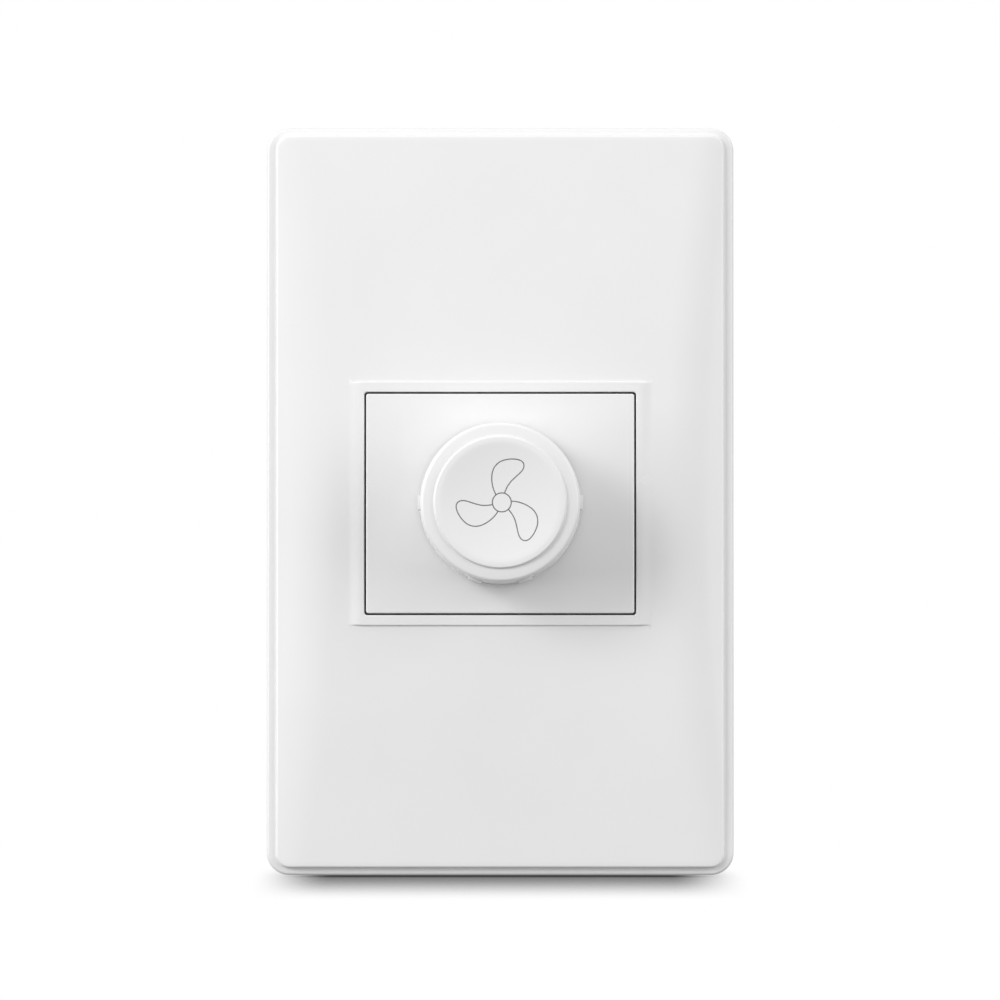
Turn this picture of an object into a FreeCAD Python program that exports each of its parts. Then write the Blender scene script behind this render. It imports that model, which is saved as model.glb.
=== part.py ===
import FreeCAD, Part
import math
import os

# Fan speed control switch for a rectangular wall box, in millimetres.
# X is to the right, Z is up and +Y goes into the wall. The wall plane is y = 0 and the front faces -Y.
# The origin is midway between the two box screws, on the wall plane.

V = FreeCAD.Vector
INTO_WALL = V(0, 1, 0)

# Workshop allowances: how far a boss is grown into the wall that carries it, and a cut runs past a wall
grown_in = 0.5
run_past = 1.0

# Cover plate: one moulding with a stepped rim, an arched face and two long bevels that run softly into it.
# Its middle is a little above the axis of the knob.
plate_width = 75.0
plate_height = 120.0
plate_offset = 0.4
plate_corner_r = 3.6
rim_depth = 5.0
rim_edge_r = 0.5
ledge_side = 1.45
ledge_end = 1.2
face_corner_r = 2.2
face_step = 1.2
face_edge_r = 0.35
crown_rise = 2.2
bevel_width = 6.0
bevel_past = 4.0
crease_r = 20.0
crown_radius = 1000.0
cover_wall = 2.0
pry_width = 9.0
pry_depth = 1.0

# Low band round the window of the cover
band_width = 48.0
band_height = 39.1
band_rise = 0.2
band_ramp = 1.6
band_edge = 0.12

# Snap claws and stiffening ribs behind the cover
claw_x = 24.0
claw_from_end = 11.0
claw_width = 8.0
claw_thickness = 1.4
claw_hook = 0.8
claw_tip_gap = 0.4
claw_root = 0.4
claw_catch_gap = 0.1
claw_slot_gap = 0.4
cover_rib = 1.0
cover_rib_x = 12.0
cover_rib_gap = 0.6
cover_rib_root = 0.5
cover_rib_start = 2.0

# Module front, which shows through the window of the cover
fascia_width = 43.0
fascia_height = 35.2
fascia_wall = 1.6
fascia_skirt = 1.3
fascia_corner_r = 0.6
fascia_edge = 0.2
window_gap = 0.3
press_pin_r = 2.0
key_pin_r = 0.8
key_pin_z = 6.4
key_pin_length = 0.9
key_pin_play = 0.1

# Mounting frame and the screw slots that fix it to the wall box
box_screw_spacing = 83.5
slot_r = 2.1
slot_length = 8.0
slot_boss_wall = 2.4
frame_gap = 0.3
frame_wall = 1.8
frame_wall_depth = 3.6
frame_web = 1.8
frame_rib = 1.2
frame_corner_r = 1.6
well_gap = 0.35
well_wall = 1.5
well_front_gap = 0.4
ledge_front = 3.0
ledge_thickness = 1.8

# Rear housing of the module
housing_width = 40.0
housing_height = 32.2
housing_wall = 1.6
housing_depth = 25.5
housing_lap = 2.5
housing_corner_r = 1.2
housing_edge_r = 0.8
housing_slip = 0.3
seat_rib = 1.2
seat_rib_reach = 1.2
seat_rib_top_x = (-11.0, 9.0)
seat_rib_low_x = -8.5

# Snap tongues at the two sides of the housing
lug_width = 8.0
lug_reach = 1.0
lug_length = 3.0
lug_play = 0.1
tongue_slit = 0.8
tongue_length = 9.0
tongue_lip = 0.5
tongue_side = 1.0

# Cooling vents in the sides and the top of the housing
vent_width = 1.4
vent_length = 12.0
vent_pitch = 3.4
vent_start = 1.4
vent_count = 5
top_vent_count = 5

# Control board and its seats
board_front = 8.0
board_thickness = 1.6
board_gap = 0.3

# Housing screws, put in from the back
screw_inset = 4.4
post_r = 2.5
post_meet = -2.0
pilot_r = 0.95
pilot_fit = 0.05
screw_shank_r = 1.1
screw_hole_r = 1.3
screw_head_r = 2.2
screw_head_h = 1.6
screw_head_gap = 0.2
screw_pocket_depth = 3.0
screw_bite = 4.5
screw_tip_gap = 0.5
cross_reach = 1.3
cross_width = 0.8

# Potentiometer, its threaded bush and its shaft
shaft_r = 3.0
shaft_fit = 0.04
shaft_edge = 0.4
bush_r = 3.5
bush_length = 4.9
bush_edge = 0.3
bush_hole_gap = 0.15
flange_r = 8.3
flange_thickness = 1.2
pot_case_r = 8.5
pot_case_wall = 0.5
pot_case_depth = 6.9
case_hole_gap = 0.5
nut_across_flats = 10.0
nut_height = 2.0
nut_edge = 0.4
washer_r = 6.0
washer_thickness = 0.5
washer_gap = 0.1
ring_thickness = 0.6
ring_r = 4.4
ring_mouth = 4.0
ring_slip = 0.02
groove_depth = 0.6
drive_flat = 2.2
rotor_r = 7.4
rotor_thickness = 1.8
wiper_thickness = 0.3
wiper_r = 4.6
wiper_reach = 6.2
wiper_width = 1.8
wiper_hub_gap = 0.3
wiper_foot = 0.4
wiper_foot_gap = 0.03
wafer_thickness = 1.2
wafer_lug = 1.2
wafer_gap = 0.1
wafer_hole_gap = 0.4
inner_play = 0.1
terminal_span = 11.0
terminal_width = 1.2
terminal_thickness = 0.5
terminal_inset = 0.5
terminal_gap = 0.2
terminal_window_side = 0.8

# Stops of the control, which give the knob its travel
turn_range = 300.0
stop_tab_angle = 30.0
stop_lug_angle = 26.0
stop_depth = 1.0
stop_slip = 0.2

# Closed mains switch on the back of the control
snap_can_depth = 6.4
snap_can_r = 8.0
snap_can_edge = 0.5
switch_drive_depth = 1.5
switch_pin_x = 5.0
switch_pin_width = 1.2
switch_pin_thickness = 0.5

# Knob
knob_r = 12.9
knob_draft = 0.2
knob_depth = 13.6
knob_gap = 0.6
knob_wall = 1.5
knob_top = 2.4
knob_edge_r = 1.3
plateau_r = 10.5
plateau_rise = 0.5
plateau_edge = 0.3
dish_depth = 0.45
dish_margin = 0.6
grip_turns = (0.0, 72.0, 108.0, 180.0)
grip_angle = 10.0
grip_rise = 0.25
grip_front_edge = 0.22
grip_length = 10.5
knob_rib = 1.0
knob_rib_depth = 3.0
knob_rib_count = 4
socket_r = 4.6
socket_gap = 0.4
bore_fit = 0.03
flat_depth = 1.4
flat_length = 8.0
flat_end_gap = 0.1
shaft_end_gap = 0.2

# Spring clip round the socket of the knob
clip_r = 5.3
clip_thickness = 0.7
clip_width = 3.0
clip_back = 0.8
clip_mouth = 3.0
clip_slip = 0.01

# Triac and its heat sink
part_gap = 0.4
sink_thickness = 1.2
sink_width = 12.4
sink_height = 17.6
sink_wall_gap = 0.5
sink_stand = 2.0
sink_foot = 2.0
sink_foot_inset = 3.0
triac_body_x = 10.0
triac_body_z = 9.2
triac_tab_z = 6.5
triac_thickness = 4.5
triac_tab_thickness = 1.3
triac_tab_step = 0.5
triac_stand = 3.0
triac_from_end = 1.4
triac_hole_gap = 0.2
lead_width = 0.9
lead_pitch = 2.54
lead_thickness = 0.5
lead_out = 1.2
m3_r = 1.5
m3_hole_gap = 0.1
m3_head_r = 2.8
m3_head_h = 1.9
m3_head_edge = 0.6
m3_slot = 0.8
m3_past_nut = 0.6
m3_nut_flats = 5.5
m3_nut_h = 2.4

# Interference choke on a ferrite bobbin
choke_r = 4.9
choke_core_r = 2.2
choke_height = 11.0
choke_flange = 1.4
choke_stand = 1.0
choke_wall_gap = 0.5
choke_post_gap = 0.4
choke_inset = 0.5
choke_leg_r = 0.45
choke_leg_x = 2.5

# Boxed capacitors: the large one behind the board, the small one in front of it
film_x = 5.5
film_z = 12.0
film_h = 12.0
film_top_gap = 1.4
film_leg_inset = 1.5
timing_x = 2.5
timing_z = 7.2
timing_h = 6.5
timing_z0 = -6.4
timing_leg_inset = 1.1
box_stand = 0.4
box_edge = 0.4
box_leg_r = 0.35

# Small parts in front of the board
axial_lift = 0.4
axial_edge_share = 0.3
ribbon_width = 0.6
resistor_r = 1.25
resistor_length = 6.3
resistor_pitch = 8.8
diac_r = 1.0
diac_length = 4.0
diac_pitch = 7.0
fuse_r = 1.9
fuse_length = 9.0
fuse_pitch = 12.4
fuse_z = 1.0
absorber_r = 4.5
absorber_thickness = 3.0
absorber_stand = 1.5
absorber_z = 3.4
absorber_edge_share = 0.3
absorber_leg_r = 0.4
absorber_leg_z = 2.5

# Terminal block with its two clamps and their screws
block_x = 16.0
block_z = 9.6
block_h = 14.0
pole_pitch = 8.0
pole_depth = 5.6
clamp_x = 5.4
clamp_z = 6.4
clamp_h = 8.4
clamp_low = 3.2
clamp_slip = 0.05
cage_front = 1.5
wire_hole_r = 1.6
wire_mouth_r = 2.6
clamp_screw_r = 1.5
clamp_screw_clear = 0.1
clamp_screw_head_r = 2.0
clamp_screw_head_h = 2.0
clamp_screw_head_gap = 0.3
clamp_screw_edge = 0.3
clamp_screw_slot = 0.7
driver_hole_r = 2.4

# Places along Y, worked out from the sizes above
ledge_y = -rim_depth
face_edge_y = -(rim_depth + face_step)
crown_y = face_edge_y - crown_rise
front_y = crown_y - band_rise
fascia_back_y = front_y + fascia_wall
board_back_y = board_front + board_thickness
housing_front_y = -(ledge_front + housing_lap)
housing_back_y = housing_depth
housing_floor_y = housing_back_y - housing_wall
ledge_back_y = -ledge_front + ledge_thickness
flange_back_y = fascia_back_y + flange_thickness
case_back_y = flange_back_y + pot_case_depth
can_back_y = case_back_y + snap_can_depth
shaft_back_y = case_back_y + switch_drive_depth
ring_y = flange_back_y + inner_play
rotor_y = ring_y + ring_thickness
wiper_y = rotor_y + rotor_thickness
wafer_y = wiper_y + wiper_thickness + inner_play
wafer_back_y = wafer_y + wafer_thickness
nut_back_y = front_y - washer_thickness
nut_front_y = nut_back_y - nut_height
bush_front_y = front_y - bush_length + fascia_wall
key_pin_y = fascia_back_y - key_pin_length
knob_back_y = front_y - knob_gap
knob_tip_y = knob_back_y - knob_depth
cavity_front_y = knob_tip_y + knob_top
socket_back_y = bush_front_y - socket_gap
shaft_front_y = cavity_front_y + shaft_end_gap
clip_y = socket_back_y - clip_width - clip_back
triac_y = board_back_y + triac_stand
sink_y = triac_y + triac_thickness
triac_tab_y = sink_y - triac_tab_thickness
pole_y = board_back_y + pole_depth
cage_back_y = pole_y - clamp_low + clamp_h

# Places across the front, worked out from the sizes above
window_width = fascia_width + 2 * window_gap
window_height = fascia_height + 2 * window_gap
claw_z = plate_height / 2 - claw_from_end
cavity_x = housing_width / 2 - housing_wall
cavity_z = housing_height / 2 - housing_wall
screw_x = housing_width / 2 - screw_inset
screw_z = housing_height / 2 - screw_inset
screw_places = [(-screw_x, -screw_z), (screw_x, screw_z)]
pin_places = [(-screw_x, screw_z), (screw_x, -screw_z)]
case_inner_r = pot_case_r - pot_case_wall
wafer_top_z = pot_case_r + wafer_lug
sink_x = -cavity_x + sink_wall_gap
sink_right_x = sink_x + sink_width
sink_low_z = -screw_z + post_r + part_gap
triac_x = sink_x + sink_width / 2 + sink_thickness / 2
triac_low_z = sink_low_z + triac_from_end
tab_hole_z = triac_low_z + triac_body_z + triac_tab_z / 2
choke_x = cavity_x - choke_wall_gap - choke_r
choke_z = screw_z - post_r - choke_post_gap - choke_r + choke_inset
choke_y = board_back_y + choke_stand
film_x0 = sink_right_x + part_gap
film_z0 = cavity_z - film_top_gap - film_z
fuse_x = -(snap_can_r + part_gap + fuse_r)
diac_x = fuse_x - fuse_r - part_gap - diac_r
absorber_x = pot_case_r + part_gap + absorber_thickness / 2
timing_x0 = absorber_x + absorber_thickness / 2 + part_gap
resistor_z = -screw_z
resistor_half = (resistor_pitch + ribbon_width) / 2
resistor_left_x = -screw_x + post_r + part_gap + resistor_half
resistor_right_x = screw_x - press_pin_r - part_gap - resistor_half
block_x0 = sink_right_x + part_gap
block_z0 = -cavity_z + board_gap
pole_x = (block_x0 + block_x / 2 - pole_pitch / 2, block_x0 + block_x / 2 + pole_pitch / 2)
pole_z = block_z0 + cage_front + clamp_z / 2

# Angles of the stops, with the knob at rest against its off stop
stop_middle_deg = -90.0
half_stops_deg = (stop_tab_angle + stop_lug_angle) / 2
stop_play_deg = (360 - turn_range) / 2 - half_stops_deg
lug_rest_deg = stop_middle_deg - half_stops_deg - stop_play_deg


def box(x0, x1, y0, y1, z0, z1):
    """A block between two corners."""
    return Part.makeBox(x1 - x0, y1 - y0, z1 - z0, V(x0, y0, z0))


def rod(r, y0, y1, x=0.0, z=0.0):
    """A round bar along Y."""
    return Part.makeCylinder(r, y1 - y0, V(x, y0, z), INTO_WALL)


def tube(r_out, r_in, y0, y1, x=0.0, z=0.0):
    """A round pipe along Y."""
    return rod(r_out, y0, y1, x, z).cut(rod(r_in, y0, y1, x, z))


def rounded_block(width, height, corner_r, y0, y1, x=0.0, z=0.0):
    """A block with four rounded corners, as seen from the front."""
    block = box(x - width / 2, x + width / 2, y0, y1, z - height / 2, z + height / 2)
    return block.makeFillet(corner_r, edges_along(block, INTO_WALL))


def edges_along(shape, direction):
    """The straight edges that run along a direction."""
    found = []
    for edge in shape.Edges:
        if edge.Curve.TypeId != "Part::GeomLine":
            continue
        if abs(abs(edge.tangentAt(edge.FirstParameter).dot(direction)) - 1) < 1e-6:
            found.append(edge)
    return found


def edges_at_y(shape, y):
    """The edges that lie wholly in one plane across Y."""
    return [e for e in shape.Edges if abs(e.BoundBox.YMin - y) < 1e-6 and abs(e.BoundBox.YMax - y) < 1e-6]


def round_edges(shape):
    """The whole circles at the ends of a cylinder."""
    return [e for e in shape.Edges if e.Curve.TypeId == "Part::GeomCircle"]


def prism(points, direction, height):
    """A prism on a closed outline of corner points."""
    wire = Part.makePolygon(points + [points[0]])
    return Part.Face(wire).extrude(direction * height)


def hexagon(across_flats, y0, y1, x=0.0, z=0.0):
    """A six-sided nut blank along Y."""
    corner = across_flats / math.sqrt(3)
    angles = [math.radians(60 * i) for i in range(6)]
    points = [V(x + corner * math.cos(a), y0, z + corner * math.sin(a)) for a in angles]
    return prism(points, INTO_WALL, y1 - y0)


def sector(r, middle_deg, spread_deg, y0, y1):
    """A wedge of a disc about the Y axis. Angles run from +X towards +Z."""
    start = math.radians(middle_deg - spread_deg / 2)
    middle = math.radians(middle_deg)
    end = math.radians(middle_deg + spread_deg / 2)
    rim = [V(r * math.cos(a), y0, r * math.sin(a)) for a in (start, middle, end)]
    hub = V(0, y0, 0)
    edges = [Part.makeLine(hub, rim[0]), Part.Arc(*rim).toShape(), Part.makeLine(rim[2], hub)]
    return Part.Face(Part.Wire(edges)).extrude(INTO_WALL * (y1 - y0))


def revolved(points):
    """A solid of revolution about the Y axis, from (radius, y) corner points."""
    outline = [V(r, y, 0) for r, y in points]
    return Part.Face(Part.makePolygon(outline + [outline[0]])).revolve(V(0, 0, 0), INTO_WALL, 360)


def save(name, shape):
    """Write one node."""
    shape = shape.removeSplitter()
    for solid in shape.Solids:
        if not solid.isValid():
            raise RuntimeError(name + " is not a valid solid")
    if len(shape.Solids) == 1:
        shape = shape.Solids[0]
    shape.exportStep("parts/" + name + ".step")


# Cover plate

def crowned_prism(side_x, inset, y_back):
    """The arched face with its two bevels as a body, moved back from the outside surface by an inset."""
    bevel_slope = crown_rise / bevel_width
    back_shift = inset * math.sqrt(1 + bevel_slope ** 2)
    face_side_x = plate_width / 2 - ledge_side
    side_y = face_edge_y + back_shift - bevel_slope * (face_side_x - side_x)
    apex_y = crown_y + inset
    flat_x = side_x - (side_y - apex_y) / bevel_slope
    outline = [(side_x, y_back), (side_x, side_y), (flat_x, apex_y)]
    right = [V(x, y, -plate_height / 2) for x, y in outline]
    left = [V(-x, y, -plate_height / 2) for x, y in reversed(outline)]
    body = prism(right + left, V(0, 0, 1), plate_height)
    radius = crown_radius - inset
    arch = Part.makeCylinder(radius, plate_width, V(-plate_width / 2, apex_y + radius, 0), V(1, 0, 0))
    return body.common(arch)


def creases(body):
    """The two long edges where the bevels meet the arched face."""
    return [e for e in body.Edges if e.BoundBox.ZLength > plate_height / 4 and e.BoundBox.XLength > run_past]


def face_edges(face):
    """The front edge all round the arched face."""
    edges = [e for e in face.Edges if e.BoundBox.YMax < ledge_y - face_step / 2]
    half_x = plate_width / 2 - ledge_side - face_corner_r
    half_z = plate_height / 2 - ledge_end - face_corner_r
    found = []
    for edge in edges:
        middle = edge.BoundBox.Center
        if abs(middle.x) > half_x or abs(middle.z) > half_z:
            found.append(edge)
    return found


def cover_band():
    """The low flat band round the window, with ramps at its two ends."""
    half = band_width / 2
    slope = band_rise / band_ramp
    foot_y = crown_y + band_rise * 2
    foot_x = half + (foot_y - crown_y) / slope
    top_x = half - band_ramp
    z = -band_height / 2
    outline = [V(foot_x, foot_y, z), V(top_x, front_y, z), V(-top_x, front_y, z), V(-foot_x, foot_y, z)]
    band = prism(outline, V(0, 0, 1), band_height)
    long_edges = [e for e in edges_along(band, V(1, 0, 0)) if abs(e.BoundBox.YMin - front_y) < 1e-6]
    return band.makeChamfer(band_edge, long_edges)


def cover_claw(x, side):
    """A snap claw behind the face. Its hook catches behind the web of the mounting frame."""
    arch = claw_z ** 2 / (2 * crown_radius)
    root_y = crown_y + arch + cover_wall - claw_root
    tip_y = -claw_tip_gap
    catch_y = -frame_wall_depth + frame_web + claw_catch_gap
    arm_outer = claw_z + claw_thickness / 2
    arm_inner = claw_z - claw_thickness / 2
    nose = arm_outer + claw_hook
    profile = [
        V(0, root_y, arm_inner),
        V(0, tip_y, arm_inner),
        V(0, tip_y, arm_outer),
        V(0, catch_y + claw_hook, nose),
        V(0, catch_y, nose),
        V(0, catch_y, arm_outer),
        V(0, root_y, arm_outer),
    ]
    claw = prism(profile, V(1, 0, 0), claw_width)
    claw.translate(V(x - claw_width / 2, 0, 0))
    if side < 0:
        claw = claw.mirror(V(0, 0, 0), V(0, 0, 1))
    return claw


def cover_ribs():
    """The stiffening ribs behind the face, above and below the window."""
    ribs = []
    far_end = claw_z + claw_thickness
    arch = (far_end + plate_offset) ** 2 / (2 * crown_radius)
    front = crown_y + arch + cover_rib_root
    back = -frame_wall_depth - cover_rib_gap
    for x in (-cover_rib_x, cover_rib_x):
        for side in (-1, 1):
            z0, z1 = sorted((side * (band_height / 2 + cover_rib_start), side * far_end))
            ribs.append(box(x - cover_rib / 2, x + cover_rib / 2, front, back, z0, z1))
    return ribs


def cover_plate():
    rim = rounded_block(plate_width, plate_height, plate_corner_r, ledge_y, 0)
    rim = rim.makeFillet(rim_edge_r, edges_at_y(rim, ledge_y))
    face_x = plate_width / 2 - ledge_side
    face_z = plate_height / 2 - ledge_end
    block = rounded_block(2 * face_x, 2 * face_z, face_corner_r, 2 * crown_y, ledge_y + run_past)
    crowned = crowned_prism(face_x + bevel_past, 0, ledge_y + run_past)
    face = block.common(crowned.makeFillet(crease_r, creases(crowned)))
    face = face.makeFillet(face_edge_r, face_edges(face))
    inner_x = plate_width / 2 - cover_wall
    inner_z = plate_height / 2 - cover_wall
    inner_r = plate_corner_r - cover_wall
    pocket = rounded_block(2 * inner_x, 2 * inner_z, inner_r, 2 * crown_y, 0)
    shell = rim.fuse(face).cut(pocket.common(crowned_prism(inner_x, cover_wall, 0)))
    shell.translate(V(0, 0, plate_offset))
    cover = shell.fuse([cover_band()] + cover_ribs())
    for x in (-claw_x, claw_x):
        for side in (-1, 1):
            cover = cover.fuse(cover_claw(x, side))
    window = rounded_block(window_width, window_height, fascia_corner_r + window_gap, front_y - run_past, 0)
    cover = cover.cut(window)
    z0 = plate_offset - plate_height / 2 - run_past
    z1 = plate_offset - plate_height / 2 + cover_wall + run_past
    cover = cover.cut(box(-pry_width / 2, pry_width / 2, -pry_depth, run_past, z0, z1))
    save("cover_plate", cover)


# Mounting frame

def obround(r, length, y0, y1, z):
    """A slot body whose long side runs along Z."""
    reach = length / 2 - r
    ends = rod(r, y0, y1, 0, z - reach).fuse(rod(r, y0, y1, 0, z + reach))
    return ends.fuse(box(-r, r, y0, y1, z - reach, z + reach))


def mounting_frame():
    outer_w = plate_width - 2 * cover_wall - 2 * frame_gap
    outer_h = plate_height - 2 * cover_wall - 2 * frame_gap
    front = -frame_wall_depth
    body = rounded_block(outer_w, outer_h, frame_corner_r, front, 0, 0, plate_offset)
    hollow_half = outer_w / 2 - frame_wall
    hollow_low = plate_offset - outer_h / 2 + frame_wall
    hollow_top = plate_offset + outer_h / 2 - frame_wall
    body = body.cut(box(-hollow_half, hollow_half, front + frame_web, 0, hollow_low, hollow_top))
    well_w = fascia_width + 2 * well_gap
    well_h = fascia_height + 2 * well_gap
    well_front = crown_y + cover_wall + well_front_gap
    well_out_w = well_w + 2 * well_wall
    well_out_h = well_h + 2 * well_wall
    body = body.fuse(rounded_block(well_out_w, well_out_h, well_wall, well_front, 0))
    for x in (-cover_rib_x, cover_rib_x):
        body = body.fuse(box(x - frame_rib / 2, x + frame_rib / 2, front, 0, hollow_low, hollow_top))
    for side in (-1, 1):
        z = side * box_screw_spacing / 2
        body = body.fuse(obround(slot_r + slot_boss_wall, slot_length + 2 * slot_boss_wall, front, 0, z))
    body = body.cut(box(-well_w / 2, well_w / 2, well_front, -ledge_front, -well_h / 2, well_h / 2))
    body = body.cut(box(-well_w / 2, well_w / 2, ledge_back_y, 0, -well_h / 2, well_h / 2))
    way_w = housing_width + 2 * housing_slip
    way_h = housing_height + 2 * housing_slip
    body = body.cut(box(-way_w / 2, way_w / 2, well_front, 0, -way_h / 2, way_h / 2))
    for side in (-1, 1):
        body = body.cut(obround(slot_r, slot_length, front, 0, side * box_screw_spacing / 2))
    slot_z0 = claw_z - claw_thickness / 2 - claw_hook - claw_slot_gap
    slot_z1 = claw_z + claw_thickness / 2 + claw_slot_gap / 2
    half = claw_width / 2 + claw_slot_gap
    for x in (-claw_x, claw_x):
        for side in (-1, 1):
            z0, z1 = sorted((side * slot_z0, side * slot_z1))
            body = body.cut(box(x - half, x + half, front, 0, z0, z1))
    save("mounting_frame", body)


# Module fascia

def module_fascia():
    skirt_back = -ledge_front
    body = rounded_block(fascia_width, fascia_height, fascia_corner_r, front_y, skirt_back)
    body = body.makeChamfer(fascia_edge, edges_at_y(body, front_y))
    inner_w = fascia_width - 2 * fascia_skirt
    inner_h = fascia_height - 2 * fascia_skirt
    body = body.cut(box(-inner_w / 2, inner_w / 2, fascia_back_y, skirt_back, -inner_h / 2, inner_h / 2))
    for x, z in screw_places:
        body = body.fuse(rod(post_r, fascia_back_y - grown_in, post_meet, x, z))
        body = body.cut(rod(pilot_r, post_meet - screw_bite, post_meet, x, z))
    for x, z in pin_places:
        body = body.fuse(rod(press_pin_r, fascia_back_y - grown_in, board_front, x, z))
    body = body.cut(rod(bush_r + bush_hole_gap, front_y, skirt_back))
    body = body.cut(rod(key_pin_r + bush_hole_gap, key_pin_y - key_pin_play, skirt_back, 0, key_pin_z))
    save("module_fascia", body)


# Rear housing

def corner_post(x, z):
    """A screw post grown into the corner of the housing."""
    post = rod(post_r, post_meet, housing_back_y, x, z)
    wall_x = math.copysign(housing_width / 2 - housing_wall / 2, x)
    wall_z = math.copysign(housing_height / 2 - housing_wall / 2, z)
    x0, x1 = sorted((x, wall_x))
    z0, z1 = sorted((z, wall_z))
    return post.fuse(box(x0, x1, post_meet, housing_back_y, z0, z1))


def rear_housing():
    body = rounded_block(housing_width, housing_height, housing_corner_r, housing_front_y, housing_back_y)
    body = body.makeFillet(housing_edge_r, edges_at_y(body, housing_back_y))
    body = body.cut(box(-cavity_x, cavity_x, housing_front_y, housing_floor_y, -cavity_z, cavity_z))
    for x, z in screw_places:
        body = body.fuse(corner_post(x, z))
        body = body.cut(rod(screw_hole_r, post_meet, housing_back_y, x, z))
        pocket_y = housing_back_y - screw_pocket_depth
        body = body.cut(rod(screw_head_r + screw_head_gap, pocket_y, housing_back_y, x, z))
    for x in seat_rib_top_x:
        body = body.fuse(board_seat_rib(x, 1))
    body = body.fuse(board_seat_rib(seat_rib_low_x, -1))
    for side in (-1, 1):
        body = body.fuse(snap_lug(side))
        body = body.cut(tongue_slits(side))
    body = body.cut(cooling_vents())
    for x in pole_x:
        body = body.cut(rod(driver_hole_r, housing_floor_y - run_past, housing_back_y, x, pole_z))
        body = body.cut(upright_rod(wire_mouth_r, x, -housing_height / 2 - grown_in, -cavity_z + grown_in))
    save("rear_housing", body)


def board_seat_rib(x, side):
    """A rib on the top or bottom wall, from the floor of the housing to the board."""
    z0, z1 = sorted((side * (cavity_z + grown_in), side * (cavity_z - seat_rib_reach)))
    return box(x - seat_rib / 2, x + seat_rib / 2, board_back_y, housing_floor_y, z0, z1)


def cooling_vents():
    """The slots in the two sides and in the top of the housing."""
    slots = []
    y0 = board_back_y + vent_start
    y1 = y0 + vent_length
    half = vent_width / 2
    for i in range(vent_count):
        z = (i - (vent_count - 1) / 2) * vent_pitch
        for side in (-1, 1):
            x0, x1 = sorted((side * (housing_width / 2 + run_past), side * (cavity_x - grown_in)))
            slots.append(box(x0, x1, y0, y1, z - half, z + half))
    for i in range(top_vent_count):
        x = (i - (top_vent_count - 1) / 2) * vent_pitch
        slots.append(box(x - half, x + half, y0, y1, cavity_z - grown_in, housing_height / 2 + run_past))
    return slots


def upright_rod(r, x, z0, z1):
    """A round bar along Z on the axis of a wire entry."""
    return Part.makeCylinder(r, z1 - z0, V(x, pole_y, z0))


def snap_lug(side):
    """The wedge that snaps behind the ledge of the mounting frame."""
    x = housing_width / 2
    catch_y = ledge_back_y + lug_play
    profile = [V(x - grown_in, catch_y, 0), V(x + lug_reach, catch_y, 0), V(x, catch_y + lug_length, 0)]
    profile.append(V(x - grown_in, catch_y + lug_length, 0))
    lug = prism(profile, V(0, 0, 1), lug_width)
    lug.translate(V(0, 0, -lug_width / 2))
    if side < 0:
        lug = lug.mirror(V(0, 0, 0), V(1, 0, 0))
    return lug


def tongue_slits(side):
    """The slits that free the spring tongue under a lug."""
    free_y = ledge_back_y + lug_play - tongue_lip
    end_y = free_y + tongue_length
    half = lug_width / 2 + tongue_side
    x0, x1 = sorted((side * (housing_width / 2 + lug_reach + run_past), side * (cavity_x - grown_in)))
    cross = box(x0, x1, free_y - tongue_slit, free_y, -half - tongue_slit, half + tongue_slit)
    upper = box(x0, x1, free_y - tongue_slit, end_y, half, half + tongue_slit)
    lower = box(x0, x1, free_y - tongue_slit, end_y, -half - tongue_slit, -half)
    return cross.fuse([upper, lower])


def housing_screws():
    """Two long self-tapping screws in one group."""
    screws = []
    head_y = housing_back_y - screw_pocket_depth
    top_y = head_y + screw_head_h
    cross_y = head_y + screw_head_h / 2
    half = cross_width / 2
    for x, z in screw_places:
        shank = rod(screw_shank_r, post_meet, head_y, x, z)
        point = rod(pilot_r - pilot_fit, post_meet - screw_bite + screw_tip_gap, post_meet, x, z)
        head = rod(screw_head_r, head_y, top_y, x, z)
        head = head.makeChamfer(screw_head_h / 3, edges_at_y(head, top_y))
        head = head.cut(box(x - cross_reach, x + cross_reach, cross_y, top_y, z - half, z + half))
        head = head.cut(box(x - half, x + half, cross_y, top_y, z - cross_reach, z + cross_reach))
        screws.append(shank.fuse([point, head]).removeSplitter())
    save("housing_screws", Part.makeCompound(screws))


# Control board

def control_board():
    half_x = cavity_x - board_gap
    half_z = cavity_z - board_gap
    board = box(-half_x, half_x, board_front, board_back_y, -half_z, half_z)
    for x, z in screw_places:
        x0, x1 = sorted((x - math.copysign(post_r + board_gap, x), math.copysign(cavity_x, x)))
        z0, z1 = sorted((z - math.copysign(post_r + board_gap, z), math.copysign(cavity_z, z)))
        board = board.cut(box(x0, x1, board_front, board_back_y, z0, z1))
    save("control_board", board)


# Potentiometer


def pot_bush():
    flange = rod(flange_r, fascia_back_y, flange_back_y)
    neck = rod(bush_r, bush_front_y, fascia_back_y)
    neck = neck.makeChamfer(bush_edge, edges_at_y(neck, bush_front_y))
    pin = rod(key_pin_r, key_pin_y, fascia_back_y, 0, key_pin_z)
    body = flange.fuse([neck, pin])
    body = body.cut(rod(shaft_r + shaft_fit, bush_front_y, flange_back_y))
    save("pot_bush", body)


def pot_case():
    back = rod(pot_case_r, flange_back_y, case_back_y)
    back = back.makeChamfer(pot_case_wall / 2, edges_at_y(back, case_back_y))
    body = back.cut(rod(case_inner_r, flange_back_y, case_back_y - pot_case_wall))
    tab = sector(case_inner_r + pot_case_wall / 2, stop_middle_deg, stop_tab_angle, rotor_y, wiper_y)
    tab = tab.cut(rod(rotor_r - stop_depth + stop_slip, rotor_y - run_past, wiper_y + run_past))
    body = body.fuse(tab)
    body = body.cut(rod(shaft_r + case_hole_gap, case_back_y - run_past, case_back_y))
    body = body.cut(terminal_window())
    save("pot_case", body)


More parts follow.
